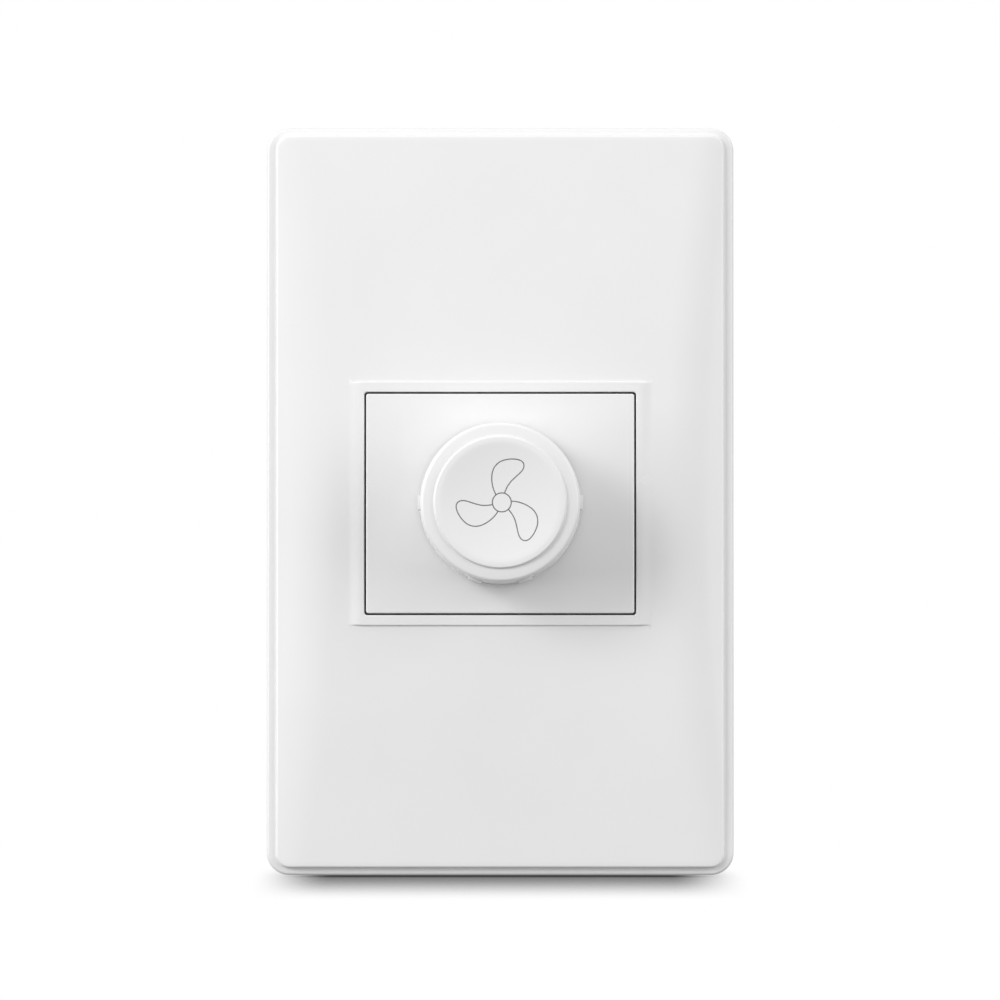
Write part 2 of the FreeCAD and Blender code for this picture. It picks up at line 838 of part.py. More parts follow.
def terminal_window():
    """The gap in the can where the wafer's terminals come out."""
    half = terminal_span / 2 + terminal_window_side
    return box(-half, half, wafer_y - terminal_gap, case_back_y - pot_case_wall, 0, pot_case_r + run_past)


def pot_wafer():
    """The resistor wafer with a lug that carries the three terminals."""
    disc = rod(case_inner_r - wafer_gap, wafer_y, wafer_back_y)
    lug = box(-terminal_span / 2, terminal_span / 2, wafer_y, wafer_back_y, 0, wafer_top_z)
    body = disc.fuse(lug).cut(rod(shaft_r + wafer_hole_gap, wafer_y, wafer_back_y))
    save("pot_wafer", body)


def pot_terminals():
    """Three bent terminals from the wafer to the board."""
    blades = []
    half = terminal_width / 2
    flat_back_y = wafer_back_y + terminal_thickness
    for i in (-1, 0, 1):
        x = i * (terminal_span / 2 - half - terminal_inset)
        flat = box(x - half, x + half, wafer_back_y, flat_back_y, pot_case_r + terminal_gap, wafer_top_z)
        leg_low_z = wafer_top_z - terminal_thickness
        leg = box(x - half, x + half, wafer_back_y, board_front, leg_low_z, wafer_top_z)
        blades.append(flat.fuse(leg).removeSplitter())
    save("pot_terminals", Part.makeCompound(blades))


def snap_switch():
    """The closed mains switch on the back of the control, with two pins to the board."""
    can = rod(snap_can_r, case_back_y, can_back_y)
    can = can.makeChamfer(snap_can_edge, edges_at_y(can, can_back_y))
    can = can.cut(rod(shaft_r + case_hole_gap, case_back_y, shaft_back_y + stop_slip))
    half = switch_pin_width / 2
    thin = switch_pin_thickness / 2
    for x in (-switch_pin_x, switch_pin_x):
        can = can.fuse(box(x - half, x + half, can_back_y - run_past, board_front, -thin, thin))
    save("snap_switch", can)


def above_flat(z, y0, y1):
    """What is cut off the round shaft to leave a flat at a height above its axis."""
    reach = shaft_r + run_past
    return box(-reach, reach, y0, y1, z, reach)


def control_shaft():
    shaft = rod(shaft_r, shaft_front_y, shaft_back_y)
    shaft = shaft.makeChamfer(shaft_edge, edges_at_y(shaft, shaft_front_y))
    shaft = shaft.cut(above_flat(shaft_r - flat_depth, shaft_front_y, shaft_front_y + flat_length))
    shaft = shaft.cut(tube(shaft_r + run_past, shaft_r - groove_depth, ring_y, rotor_y))
    shaft = shaft.cut(above_flat(drive_flat, rotor_y, shaft_back_y))
    save("control_shaft", shaft)


def shaft_retaining_ring():
    ring = tube(ring_r, shaft_r - groove_depth + ring_slip, ring_y, rotor_y - ring_slip)
    mouth = box(-ring_mouth / 2, ring_mouth / 2, ring_y, rotor_y, -ring_r - run_past, 0)
    save("shaft_retaining_ring", ring.cut(mouth))


def pot_rotor():
    disc = rod(rotor_r - stop_depth, rotor_y, wiper_y)
    lug = sector(rotor_r, lug_rest_deg, stop_lug_angle, rotor_y, wiper_y)
    body = disc.fuse(lug)
    bore = rod(shaft_r, rotor_y, wiper_y).cut(above_flat(drive_flat, rotor_y, wiper_y))
    save("pot_rotor", body.cut(bore))


def pot_wiper():
    """The sprung contact under the rotor: a hub ring with a bent finger."""
    back_y = wiper_y + wiper_thickness
    half = wiper_width / 2
    ring = tube(wiper_r, shaft_r + wiper_hub_gap, wiper_y, back_y)
    finger = box(-half, half, wiper_y, back_y, -wiper_reach, -wiper_r + grown_in)
    foot = box(-half, half, wiper_y, wafer_y - wiper_foot_gap, -wiper_reach, -wiper_reach + wiper_foot)
    save("pot_wiper", ring.fuse([finger, foot]))


def bush_washer():
    save("bush_washer", tube(washer_r, bush_r + washer_gap, nut_back_y, front_y))


def bush_nut():
    blank = hexagon(nut_across_flats, nut_front_y, nut_back_y)
    round_off = rod(nut_across_flats / math.sqrt(3), nut_front_y, nut_back_y)
    round_off = round_off.makeChamfer(nut_edge, edges_at_y(round_off, nut_front_y))
    blank = blank.common(round_off)
    save("bush_nut", blank.cut(rod(bush_r, nut_front_y, nut_back_y)))


# Knob

def knob():
    ledge = knob_tip_y + plateau_rise
    body = revolved([(0, knob_back_y), (knob_r, knob_back_y), (knob_r - knob_draft, ledge), (0, ledge)])
    body = body.makeFillet(knob_edge_r, edges_at_y(body, ledge))
    for turn in grip_turns:
        body = body.fuse(grip_lug(turn))
    plateau = rod(plateau_r, knob_tip_y, ledge + grown_in)
    plateau = plateau.makeChamfer(plateau_edge, edges_at_y(plateau, knob_tip_y))
    body = body.fuse(plateau)
    dish_r = plateau_r - plateau_edge - dish_margin
    dish_radius = (dish_r ** 2 + dish_depth ** 2) / (2 * dish_depth)
    body = body.cut(Part.makeSphere(dish_radius, V(0, knob_tip_y + dish_depth - dish_radius, 0)))
    body = body.cut(rod(knob_r - knob_wall, cavity_front_y, knob_back_y))
    body = body.fuse(rod(socket_r, cavity_front_y - grown_in, socket_back_y))
    for i in range(knob_rib_count):
        body = body.fuse(socket_rib(360.0 * (i + 0.5) / knob_rib_count))
    bore = rod(shaft_r + bore_fit, cavity_front_y, socket_back_y)
    flat_z = shaft_r - flat_depth + bore_fit
    key = above_flat(flat_z, cavity_front_y, shaft_front_y + flat_length - flat_end_gap)
    body = body.cut(bore.cut(key))
    clip_seat = rod(socket_r, clip_y, clip_y + clip_width)
    body = body.cut(clip_seat.cut(rod(clip_r - clip_thickness, clip_y, clip_y + clip_width)))
    save("knob", body)


def grip_lug(turn_deg):
    """A low raised strip on the side of the knob. Turns are clockwise, from the right."""
    half = math.radians(grip_angle) * knob_r / 2
    front = knob_back_y - grip_length
    lug = box(0, knob_r + grip_rise, front, knob_back_y, -half, half)
    outer = [e for e in edges_along(lug, V(0, 0, 1)) if e.BoundBox.XMin > grip_rise]
    lug = lug.makeChamfer(grip_front_edge, [e for e in outer if e.BoundBox.YMax < front + grip_rise])
    lug.rotate(V(0, 0, 0), INTO_WALL, turn_deg)
    return lug


def socket_rib(turn_deg):
    """A rib from the socket to the skirt of the knob."""
    outer = knob_r - knob_wall + grown_in
    back = cavity_front_y + knob_rib_depth
    rib = box(socket_r - grown_in, outer, cavity_front_y - grown_in, back, -knob_rib / 2, knob_rib / 2)
    rib.rotate(V(0, 0, 0), INTO_WALL, turn_deg)
    return rib


def knob_spring_clip():
    """The open spring ring that squeezes the knob's socket onto the shaft."""
    back = clip_y + clip_width
    ring = tube(clip_r, clip_r - clip_thickness + clip_slip, clip_y + clip_slip, back - clip_slip)
    mouth = box(-clip_mouth / 2, clip_mouth / 2, clip_y, back, 0, clip_r + run_past)
    save("knob_spring_clip", ring.cut(mouth))


# Power parts on the back of the board


def heat_sink():
    """A bent aluminium plate behind the triac, with two feet on the board."""
    z0 = sink_low_z
    z1 = sink_low_z + sink_height
    leg_x = sink_x + sink_thickness
    plate = box(sink_x, sink_right_x, sink_y, sink_y + sink_thickness, z0, z1)
    leg = box(sink_x, leg_x, board_back_y + sink_stand, sink_y + sink_thickness, z0, z1)
    body = plate.fuse(leg).removeSplitter()
    outer = [e for e in edges_along(body, V(0, 0, 1)) if abs(e.BoundBox.XMin - sink_x) < 1e-6]
    outer = [e for e in outer if abs(e.BoundBox.YMax - sink_y - sink_thickness) < 1e-6]
    body = body.makeFillet(sink_thickness, outer)
    foot_back = board_back_y + sink_stand + grown_in
    for z in (z0 + sink_foot_inset, z1 - sink_foot_inset):
        body = body.fuse(box(sink_x, leg_x, board_back_y, foot_back, z - sink_foot / 2, z + sink_foot / 2))
    body = body.cut(rod(m3_r + m3_hole_gap, sink_y, sink_y + sink_thickness, triac_x, tab_hole_z))
    save("heat_sink", body)


def triac():
    """The three-legged power switch. Its metal tab lies on the heat sink and its legs bend to the board."""
    half = triac_body_x / 2
    z1 = triac_low_z + triac_body_z
    body = box(triac_x - half, triac_x + half, triac_y, sink_y - triac_tab_step, triac_low_z, z1)
    tab = box(triac_x - half, triac_x + half, triac_tab_y, sink_y, triac_low_z, z1 + triac_tab_z)
    tab = tab.cut(rod(m3_r + triac_hole_gap, triac_tab_y, sink_y, triac_x, tab_hole_z))
    shape = body.fuse(tab)
    bend_y = (triac_y + triac_tab_y) / 2
    bend_z = triac_low_z - lead_out
    for i in (-1, 0, 1):
        x0 = triac_x + lead_pitch * i - lead_width / 2
        x1 = x0 + lead_width
        out = box(x0, x1, bend_y, bend_y + lead_thickness, bend_z, triac_low_z)
        down = box(x0, x1, board_back_y, bend_y + lead_thickness, bend_z, bend_z + lead_thickness)
        shape = shape.fuse([out, down])
    save("triac", shape)


def triac_screw():
    head_y = sink_y + sink_thickness
    top_y = head_y + m3_head_h
    shank = rod(m3_r, triac_tab_y - m3_nut_h - m3_past_nut, head_y, triac_x, tab_hole_z)
    head = rod(m3_head_r, head_y, top_y, triac_x, tab_hole_z)
    head = head.makeChamfer(m3_head_edge, edges_at_y(head, top_y))
    head = head.cut(driver_slot(m3_head_r, m3_slot, head_y + m3_head_h / 2, top_y, triac_x, tab_hole_z))
    save("triac_screw", shank.fuse(head))


def driver_slot(head_r, width, y0, y1, x, z):
    """The straight slot across the head of a screw."""
    return box(x - head_r, x + head_r, y0, y1, z - width / 2, z + width / 2)


def triac_nut():
    nut = hexagon(m3_nut_flats, triac_tab_y - m3_nut_h, triac_tab_y, triac_x, tab_hole_z)
    save("triac_nut", nut.cut(rod(m3_r, triac_tab_y - m3_nut_h, triac_tab_y, triac_x, tab_hole_z)))


def choke_core():
    """A ferrite bobbin on two legs."""
    top = choke_y + choke_height
    core = rod(choke_core_r, choke_y, top, choke_x, choke_z)
    low = rod(choke_r, choke_y, choke_y + choke_flange, choke_x, choke_z)
    high = rod(choke_r, top - choke_flange, top, choke_x, choke_z)
    body = core.fuse([low, high])
    for dx in (-choke_leg_x, choke_leg_x):
        body = body.fuse(rod(choke_leg_r, board_back_y, choke_y + grown_in, choke_x + dx, choke_z))
    save("choke_core", body)


def choke_winding():
    y0 = choke_y + choke_flange
    y1 = choke_y + choke_height - choke_flange
    save("choke_winding", tube(choke_r - choke_inset, choke_core_r, y0, y1, choke_x, choke_z))


def boxed_part(name, x0, z0, size_x, size_z, height, legs, back=True):
    """A potted box part that stands on the back or on the front of the board on two legs."""
    y0 = board_back_y + box_stand if back else board_front - box_stand - height
    body = box(x0, x0 + size_x, y0, y0 + height, z0, z0 + size_z)
    body = body.makeChamfer(box_edge, body.Edges)
    leg_y0 = board_back_y if back else y0 + height - grown_in
    leg_y1 = y0 + grown_in if back else board_front
    for x, z in legs:
        body = body.fuse(rod(box_leg_r, leg_y0, leg_y1, x, z))
    save(name, body)


def suppression_capacitor():
    x = film_x0 + film_x / 2
    legs = [(x, film_z0 + film_leg_inset), (x, film_z0 + film_z - film_leg_inset)]
    boxed_part("suppression_capacitor", film_x0, film_z0, film_x, film_z, film_h, legs)


def timing_capacitor():
    x = timing_x0 + timing_x / 2
    legs = [(x, timing_z0 + timing_leg_inset), (x, timing_z0 + timing_z - timing_leg_inset)]
    boxed_part("timing_capacitor", timing_x0, timing_z0, timing_x, timing_z, timing_h, legs, back=False)


def surge_absorber():
    """A lacquered disc on edge in front of the board, with two legs."""
    y = board_front - absorber_stand - absorber_r
    start = V(absorber_x - absorber_thickness / 2, y, absorber_z)
    body = Part.makeCylinder(absorber_r, absorber_thickness, start, V(1, 0, 0))
    body = body.makeChamfer(absorber_thickness * absorber_edge_share, round_edges(body))
    for dz in (-absorber_leg_z, absorber_leg_z):
        body = body.fuse(rod(absorber_leg_r, y, board_front, absorber_x, absorber_z + dz))
    save("surge_absorber", body)


def axial_part(x, z, r, length, along_x, pitch):
    """A round part lying in front of the board on two bent ribbon leads."""
    half = ribbon_width / 2
    y = board_front - axial_lift - r
    body = Part.makeCylinder(r, length, V(-length / 2, y, 0), V(1, 0, 0))
    body = body.makeChamfer(r * axial_edge_share, round_edges(body))
    for side in (-1, 1):
        x0, x1 = sorted((side * (length / 2 - grown_in), side * (pitch / 2 + half)))
        body = body.fuse(box(x0, x1, y - half, y + half, -half, half))
        foot = side * pitch / 2
        body = body.fuse(box(foot - half, foot + half, y - half, board_front, -half, half))
    if not along_x:
        body.rotate(V(0, 0, 0), INTO_WALL, 90)
    body.translate(V(x, 0, z))
    return body


def fixed_resistors():
    """Two resistors in one group, side by side under the control."""
    resistors = []
    for x in (resistor_left_x, resistor_right_x):
        body = axial_part(x, resistor_z, resistor_r, resistor_length, True, resistor_pitch)
        resistors.append(body.removeSplitter())
    save("fixed_resistors", Part.makeCompound(resistors))


def trigger_diac():
    save("trigger_diac", axial_part(diac_x, 0, diac_r, diac_length, False, diac_pitch))


def thermal_fuse():
    save("thermal_fuse", axial_part(fuse_x, fuse_z, fuse_r, fuse_length, False, fuse_pitch))


# Terminal block


def clamp_cage(x, slack):
    """The brass cage of one pole, or with slack the pocket that it sits in."""
    half_x = clamp_x / 2 + slack
    z0 = block_z0 + cage_front - slack
    y0 = pole_y - clamp_low - slack
    return box(x - half_x, x + half_x, y0, y0 + clamp_h + 2 * slack, z0, z0 + clamp_z + 2 * slack)


def terminal_block():
    block_back_y = board_back_y + block_h
    body = box(block_x0, block_x0 + block_x, board_back_y, block_back_y, block_z0, block_z0 + block_z)
    for x in pole_x:
        body = body.cut(clamp_cage(x, clamp_slip))
        body = body.cut(upright_rod(wire_mouth_r, x, block_z0, block_z0 + cage_front))
        body = body.cut(rod(driver_hole_r, cage_back_y, block_back_y, x, pole_z))
    save("terminal_block", body)


def terminal_clamps():
    cages = []
    for x in pole_x:
        z0 = block_z0 + cage_front
        cage = clamp_cage(x, 0).cut(upright_rod(wire_hole_r, x, z0, z0 + clamp_z))
        cage = cage.cut(rod(clamp_screw_r, pole_y, cage_back_y, x, pole_z))
        cages.append(cage)
    save("terminal_clamps", Part.makeCompound(cages))


def terminal_screws():
    screws = []
    head_y = cage_back_y + clamp_screw_head_gap
    top_y = head_y + clamp_screw_head_h
    slot_y = head_y + clamp_screw_head_h / 2
    for x in pole_x:
        shank = rod(clamp_screw_r, pole_y + wire_hole_r + clamp_screw_clear, head_y, x, pole_z)
        head = rod(clamp_screw_head_r, head_y, top_y, x, pole_z)
        head = head.makeChamfer(clamp_screw_edge, edges_at_y(head, top_y))
        head = head.cut(driver_slot(clamp_screw_head_r, clamp_screw_slot, slot_y, top_y, x, pole_z))
        screws.append(shank.fuse(head).removeSplitter())
    save("terminal_screws", Part.makeCompound(screws))


os.makedirs("parts", exist_ok=True)
cover_plate()
mounting_frame()
module_fascia()
rear_housing()
housing_screws()
control_board()
pot_bush()
pot_case()
pot_wafer()
pot_terminals()
snap_switch()
control_shaft()
shaft_retaining_ring()
pot_rotor()
pot_wiper()
bush_washer()
bush_nut()
knob()
knob_spring_clip()
heat_sink()
triac()
triac_screw()
triac_nut()
choke_core()
choke_winding()
suppression_capacitor()
timing_capacitor()
fixed_resistors()
trigger_diac()
thermal_fuse()
surge_absorber()
terminal_block()
terminal_clamps()
terminal_screws()
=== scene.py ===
import math

import bmesh
import bpy
from mathutils import Matrix, Vector


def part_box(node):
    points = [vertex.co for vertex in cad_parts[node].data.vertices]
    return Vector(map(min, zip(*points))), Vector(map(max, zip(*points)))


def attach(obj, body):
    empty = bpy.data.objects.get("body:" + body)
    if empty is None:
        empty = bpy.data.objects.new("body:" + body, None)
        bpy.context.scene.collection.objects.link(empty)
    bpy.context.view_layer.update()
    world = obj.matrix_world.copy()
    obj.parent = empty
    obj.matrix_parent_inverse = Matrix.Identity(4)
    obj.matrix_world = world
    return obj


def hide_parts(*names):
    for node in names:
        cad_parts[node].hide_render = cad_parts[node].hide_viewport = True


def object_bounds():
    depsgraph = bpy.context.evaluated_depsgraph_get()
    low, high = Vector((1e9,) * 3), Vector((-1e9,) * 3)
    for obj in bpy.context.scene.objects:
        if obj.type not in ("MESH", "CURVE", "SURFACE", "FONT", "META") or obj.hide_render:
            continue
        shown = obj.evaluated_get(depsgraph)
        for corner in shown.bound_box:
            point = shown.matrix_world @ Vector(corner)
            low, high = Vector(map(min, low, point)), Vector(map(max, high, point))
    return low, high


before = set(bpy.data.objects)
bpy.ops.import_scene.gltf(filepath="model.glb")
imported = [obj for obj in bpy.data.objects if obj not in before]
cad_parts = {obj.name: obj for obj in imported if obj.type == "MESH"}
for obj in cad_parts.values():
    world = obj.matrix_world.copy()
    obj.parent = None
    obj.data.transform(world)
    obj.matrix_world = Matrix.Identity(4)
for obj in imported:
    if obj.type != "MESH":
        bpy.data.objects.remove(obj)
cad_low, cad_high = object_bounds()
mm = 0.001

# Cover plate: one injection moulding in white ABS, polished in the tool. It has a stepped rim, an arched
# face with a soft bevel down each side, and a low band round the window. Behind it, four ribs stiffen the
# face and four claws snap into the mounting frame.
cover_low, cover_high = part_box("cover_plate")
plate_x = cover_high.x
plate_z = (cover_high.z - cover_low.z) / 2
plate_middle = (cover_high.z + cover_low.z) / 2
plate_corner = 3.6 * mm
rim_front = -5.5 * mm
rim_lean = 0.1 * mm
rim_round = 0.5 * mm
ledge_x = 1.45 * mm
ledge_z = 1.2 * mm
ledge_shares = (0.05, 0.95, 1)
face_corner = 2.2 * mm
face_round = 0.35 * mm
face_rings = 56
crown_front = -8.4 * mm
crown_radius = 1000 * mm
bevel_start_x = 30.05 * mm
bevel_slope = 2.2 / 6.0
crease_blend = 1.3 * mm
band_front = cover_low.y
band_foot_x = 24.4 * mm
band_foot_corner = 0.3 * mm
band_flat_x = 22.4 * mm
band_z = 19.55 * mm
band_corner = 0.2 * mm
band_round = 0.12 * mm
ramp_shares = (0.15, 0.3, 0.5, 0.7, 0.85)
flat_shares = (0.04, 0.5, 0.96)
window_x = 21.8 * mm
window_z = 17.9 * mm
window_corner = 0.5 * mm
window_round = 0.2 * mm
wall = 2.0 * mm
inner_rings = 14
support = 0.03 * mm
weld = 0.001 * mm
crisp_angle = math.radians(40)


def spots_around(corner_steps, x_steps, z_steps):
    """The points of a rounded rectangle: each one's share of the inner rectangle, and the way it faces."""
    corners = [(1, 1), (-1, 1), (-1, -1), (1, -1)]
    spots = []
    for quarter, (u, v) in enumerate(corners):
        for i in range(corner_steps + 1):
            angle = math.pi / 2 * (quarter + i / corner_steps)
            spots.append((u, v, math.cos(angle), math.sin(angle)))
        next_u, next_v = corners[(quarter + 1) % 4]
        steps = x_steps if v == next_v else z_steps
        angle = math.pi / 2 * (quarter + 1)
        for i in range(1, steps):
            side_u = between(u, next_u, i / steps)
            side_v = between(v, next_v, i / steps)
            spots.append((side_u, side_v, math.cos(angle), math.sin(angle)))
    return spots


def between(a, b, share):
    """The value at a share of the way from a to b."""
    return a + (b - a) * share


def ring(spots, half_x, half_z, corner, depth, middle=0):
    """The places of a rounded rectangle about a Z value.

    depth is a Y value, or gives one from x, z and the way a spot faces.
    """
    places = []
    for u, v, to_x, to_z in spots:
        x = (half_x - corner) * u + corner * to_x
        z = middle + (half_z - corner) * v + corner * to_z
        y = depth(x, z, to_z) if callable(depth) else depth
        places.append(Vector((x, y, z)))
    return places


def start_loop(bm, places):
    """A closed loop of edges with one vertex at each place."""
    loop = bmesh.ops.create_circle(bm, segments=len(places), radius=1)["verts"]
    for vertex, place in zip(loop, places):
        vertex.co = place
    return loop


def draw_out(bm, loop, places):
    """Extrudes a closed loop of edges to new places and gives the new loop."""
    edges = [bm.edges.get((a, b)) for a, b in zip(loop, loop[1:] + loop[:1])]
    made = bmesh.ops.extrude_edge_only(bm, edges=edges)["geom"]
    new = {item for item in made if isinstance(item, bmesh.types.BMVert)}
    copies = [next(e.other_vert(v) for e in v.link_edges if e.other_vert(v) in new) for v in loop]
    for vertex, place in zip(copies, places):
        vertex.co = place
    return copies


def finish_mesh(bm, name, smooth=True):
    """Closes the seams of a shell, turns its faces outwards and makes it an object with crisp corners."""
    bmesh.ops.remove_doubles(bm, verts=bm.verts, dist=weld)
    bmesh.ops.recalc_face_normals(bm, faces=bm.faces)
    mesh = bpy.data.meshes.new(name)
    bm.to_mesh(mesh)
    bm.free()
    for polygon in mesh.polygons:
        polygon.use_smooth = smooth
    if smooth:
        mesh.set_sharp_from_angle(angle=crisp_angle)
    piece = bpy.data.objects.new(name, mesh)
    bpy.context.scene.collection.objects.link(piece)
    return piece


def block(bm, low, high):
    """A plain block between two corners, for ribs and lugs."""
    size = [b - a for a, b in zip(low, high)]
    middle = [(a + b) / 2 for a, b in zip(low, high)]
    place = Matrix.Translation(middle) @ Matrix.Diagonal((*size, 1))
    return bmesh.ops.create_cube(bm, size=1, matrix=place)["verts"]


def smooth_max(a, b, blend):
    """The larger of two values, with the change from one to the other rounded over."""
    near = max(blend - abs(a - b), 0) / blend
    return max(a, b) + near * near * blend / 4


def face_depth(x, z, to_z=0):
    """Y of the arched face: a very large arch from top to bottom, cut back by the two side bevels."""
    arch = crown_radius - math.sqrt(crown_radius ** 2 - (z - plate_middle) ** 2)
    bevel = (abs(x) - bevel_start_x) * bevel_slope
    return crown_front + smooth_max(arch, bevel, crease_blend)


def band_edge_depth(lift):
    """Y along a ring on the rounded long edges of the band, which lie above and below the window only."""
    return lambda x, z, to_z: band_front + lift * to_z * to_z


def ramp_depth(share):
    """Y on the way from the face up to the band. It eases in and out, so no line shows beside the window."""
    eased = share * share * (3 - 2 * share)
    top = band_edge_depth(band_round)
    return lambda x, z, to_z: between(face_depth(x, z), top(x, z, to_z), eased)


def arc_steps(count):
    """Shares of a quarter turn, as sine and cosine."""
    angles = [math.pi / 2 * i / count for i in range(count + 1)]
    return [(math.sin(a), math.cos(a)) for a in angles]


cover_spots = spots_around(corner_steps=10, x_steps=100, z_steps=150)
cover_mesh = bmesh.new()
cover_back = ring(cover_spots, plate_x, plate_z, plate_corner, 0, plate_middle)
loop = start_loop(cover_mesh, cover_back)
side_front = rim_front + rim_round + support
side_ring = ring(cover_spots, plate_x, plate_z, plate_corner, side_front, plate_middle)
loop = draw_out(cover_mesh, loop, side_ring)
for sine, cosine in arc_steps(count=6):
    inset = rim_round * (1 - cosine)
    depth = rim_front + rim_round * (1 - sine)
    edge = ring(cover_spots, plate_x - inset, plate_z - inset, plate_corner - inset, depth, plate_middle)
    loop = draw_out(cover_mesh, loop, edge)
face_x = plate_x - ledge_x
face_z = plate_z - ledge_z
for share in ledge_shares:
    half_x = between(plate_x - rim_round, face_x, share)
    half_z = between(plate_z - rim_round, face_z, share)
    corner = between(plate_corner - rim_round, face_corner, share)
    depth = rim_front - rim_lean * share
    loop = draw_out(cover_mesh, loop, ring(cover_spots, half_x, half_z, corner, depth, plate_middle))
for sine, cosine in arc_steps(count=5):
    inset = face_round * (1 - cosine)
    lower = face_round * (1 - sine)
    edge = ring(cover_spots, face_x - inset, face_z - inset, face_corner - inset,
                lambda x, z, to_z: face_depth(x, z) + lower, plate_middle)
    loop = draw_out(cover_mesh, loop, edge)
for i in range(1, face_rings + 1):
    share = i / face_rings
    half_x = between(face_x - face_round, band_foot_x, share)
    half_z = between(face_z - face_round, band_z, share)
    corner = between(face_corner - face_round, band_foot_corner, share)
    middle = between(plate_middle, 0, share)
    loop = draw_out(cover_mesh, loop, ring(cover_spots, half_x, half_z, corner, face_depth, middle))
for share in ramp_shares:
    half_x = between(band_foot_x, band_flat_x, share)
    half_z = between(band_z, band_z - support, share)
    corner = between(band_foot_corner, band_corner, share)
    loop = draw_out(cover_mesh, loop, ring(cover_spots, half_x, half_z, corner, ramp_depth(share)))
for sine, cosine in arc_steps(count=4):
    inset = band_round * (1 - cosine)
    depth = band_edge_depth(band_round * (1 - sine))
    edge = ring(cover_spots, band_flat_x - inset, band_z - inset - support, band_corner, depth)
    loop = draw_out(cover_mesh, loop, edge)
for share in flat_shares:
    half_x = between(band_flat_x - band_round, window_x + window_round, share)
    half_z = between(band_z - band_round, window_z + window_round, share)
    corner = between(band_corner, window_corner + window_round, share)
    loop = draw_out(cover_mesh, loop, ring(cover_spots, half_x, half_z, corner, band_front))
for sine, cosine in arc_steps(count=5):
    outset = window_round * (1 - sine)
    depth = band_front + window_round * (1 - cosine)
    edge = ring(cover_spots, window_x + outset, window_z + outset, window_corner + outset, depth)
    loop = draw_out(cover_mesh, loop, edge)
inner_x = plate_x - wall
inner_z = plate_z - wall
inner_corner = plate_corner - wall
for i in range(inner_rings + 1):
    share = i / inner_rings
    half_x = between(window_x, inner_x, share)
    half_z = between(window_z, inner_z, share)
    corner = between(window_corner, inner_corner, share)
    middle = between(0, plate_middle, share)
    inner = ring(cover_spots, half_x, half_z, corner, lambda x, z, to_z: face_depth(x, z) + wall, middle)
    loop = draw_out(cover_mesh, loop, inner)
inner_back = ring(cover_spots, inner_x, inner_z, inner_corner, 0, plate_middle)
loop = draw_out(cover_mesh, loop, inner_back)
draw_out(cover_mesh, loop, cover_back)
claw_x = 24 * mm
claw_half_width = 4 * mm
claw_profile_mm = [(-5.6, 48.3), (-0.4, 48.3), (-0.4, 49.7), (-0.9, 50.5), (-1.7, 50.5), (-1.7, 49.7),
                   (-5.6, 49.7)]
rib_x = 12 * mm
rib_half = 0.5 * mm
rib_front = -6.6 * mm
rib_back = -4.2 * mm
rib_start_z = 21.55 * mm
rib_end_z = 50.4 * mm
for side_x in (-1, 1):
    for side_z in (-1, 1):
        claw_side = side_x * claw_x - claw_half_width
        places = [(claw_side, y * mm, side_z * z * mm) for y, z in claw_profile_mm]
        claw = cover_mesh.faces.new([cover_mesh.verts.new(place) for place in places])
        moved = bmesh.ops.extrude_face_region(cover_mesh, geom=[claw])["geom"]
        grown = [item for item in moved if isinstance(item, bmesh.types.BMVert)]
        bmesh.ops.translate(cover_mesh, verts=grown, vec=(2 * claw_half_width, 0, 0))
for side_x in (-1, 1):
    for side_z in (-1, 1):
        middle_x = side_x * rib_x
        start, end = sorted((side_z * rib_start_z, side_z * rib_end_z))
        block(cover_mesh, (middle_x - rib_half, rib_front, start), (middle_x + rib_half, rib_back, end))
cover = finish_mesh(cover_mesh, "cover")


def linear(hex_colour):
    """The linear colour of an sRGB hex value."""
    channels = [int(hex_colour[i:i + 2], 16) / 255 for i in (1, 3, 5)]
    return [c / 12.92 if c <= 0.04045 else ((c + 0.055) / 1.055) ** 2.4 for c in channels] + [1.0]


def start_material(name):
    """A new material with its node tree and its main shader."""
    material = bpy.data.materials.new(name)
    material.use_nodes = True
    return material, material.node_tree, material.node_tree.nodes["Principled BSDF"]


def add(tree, kind, settings, sockets):
    """Adds a node, sets its settings, and sets or links its sockets."""
    node = tree.nodes.new("ShaderNode" + kind)
    for name, value in settings.items():
        setattr(node, name, value)
    for name, value in sockets.items():
        if isinstance(value, bpy.types.NodeSocket):
            tree.links.new(value, node.inputs[name])
        else:
            node.inputs[name].default_value = value
    return node


def per_metre(size_in_mm):
    """The texture scale at which one cell of a pattern has a real size."""
    return 1 / (size_in_mm * mm)


def two_shades(tree, factor, shade, colour, shade_end=0.0, colour_start=1.0):
    """A colour that runs from one shade to another with a pattern."""
    tint = add(tree, "ValToRGB", {}, {"Fac": factor})
    tint.color_ramp.elements[0].color = linear(shade)
    tint.color_ramp.elements[1].color = linear(colour)
    tint.color_ramp.elements[0].position = shade_end
    tint.color_ramp.elements[1].position = colour_start
    return tint.outputs["Color"]


plastic_ior = 1.52
flow_mm = 18
flow_gloss = 0.03


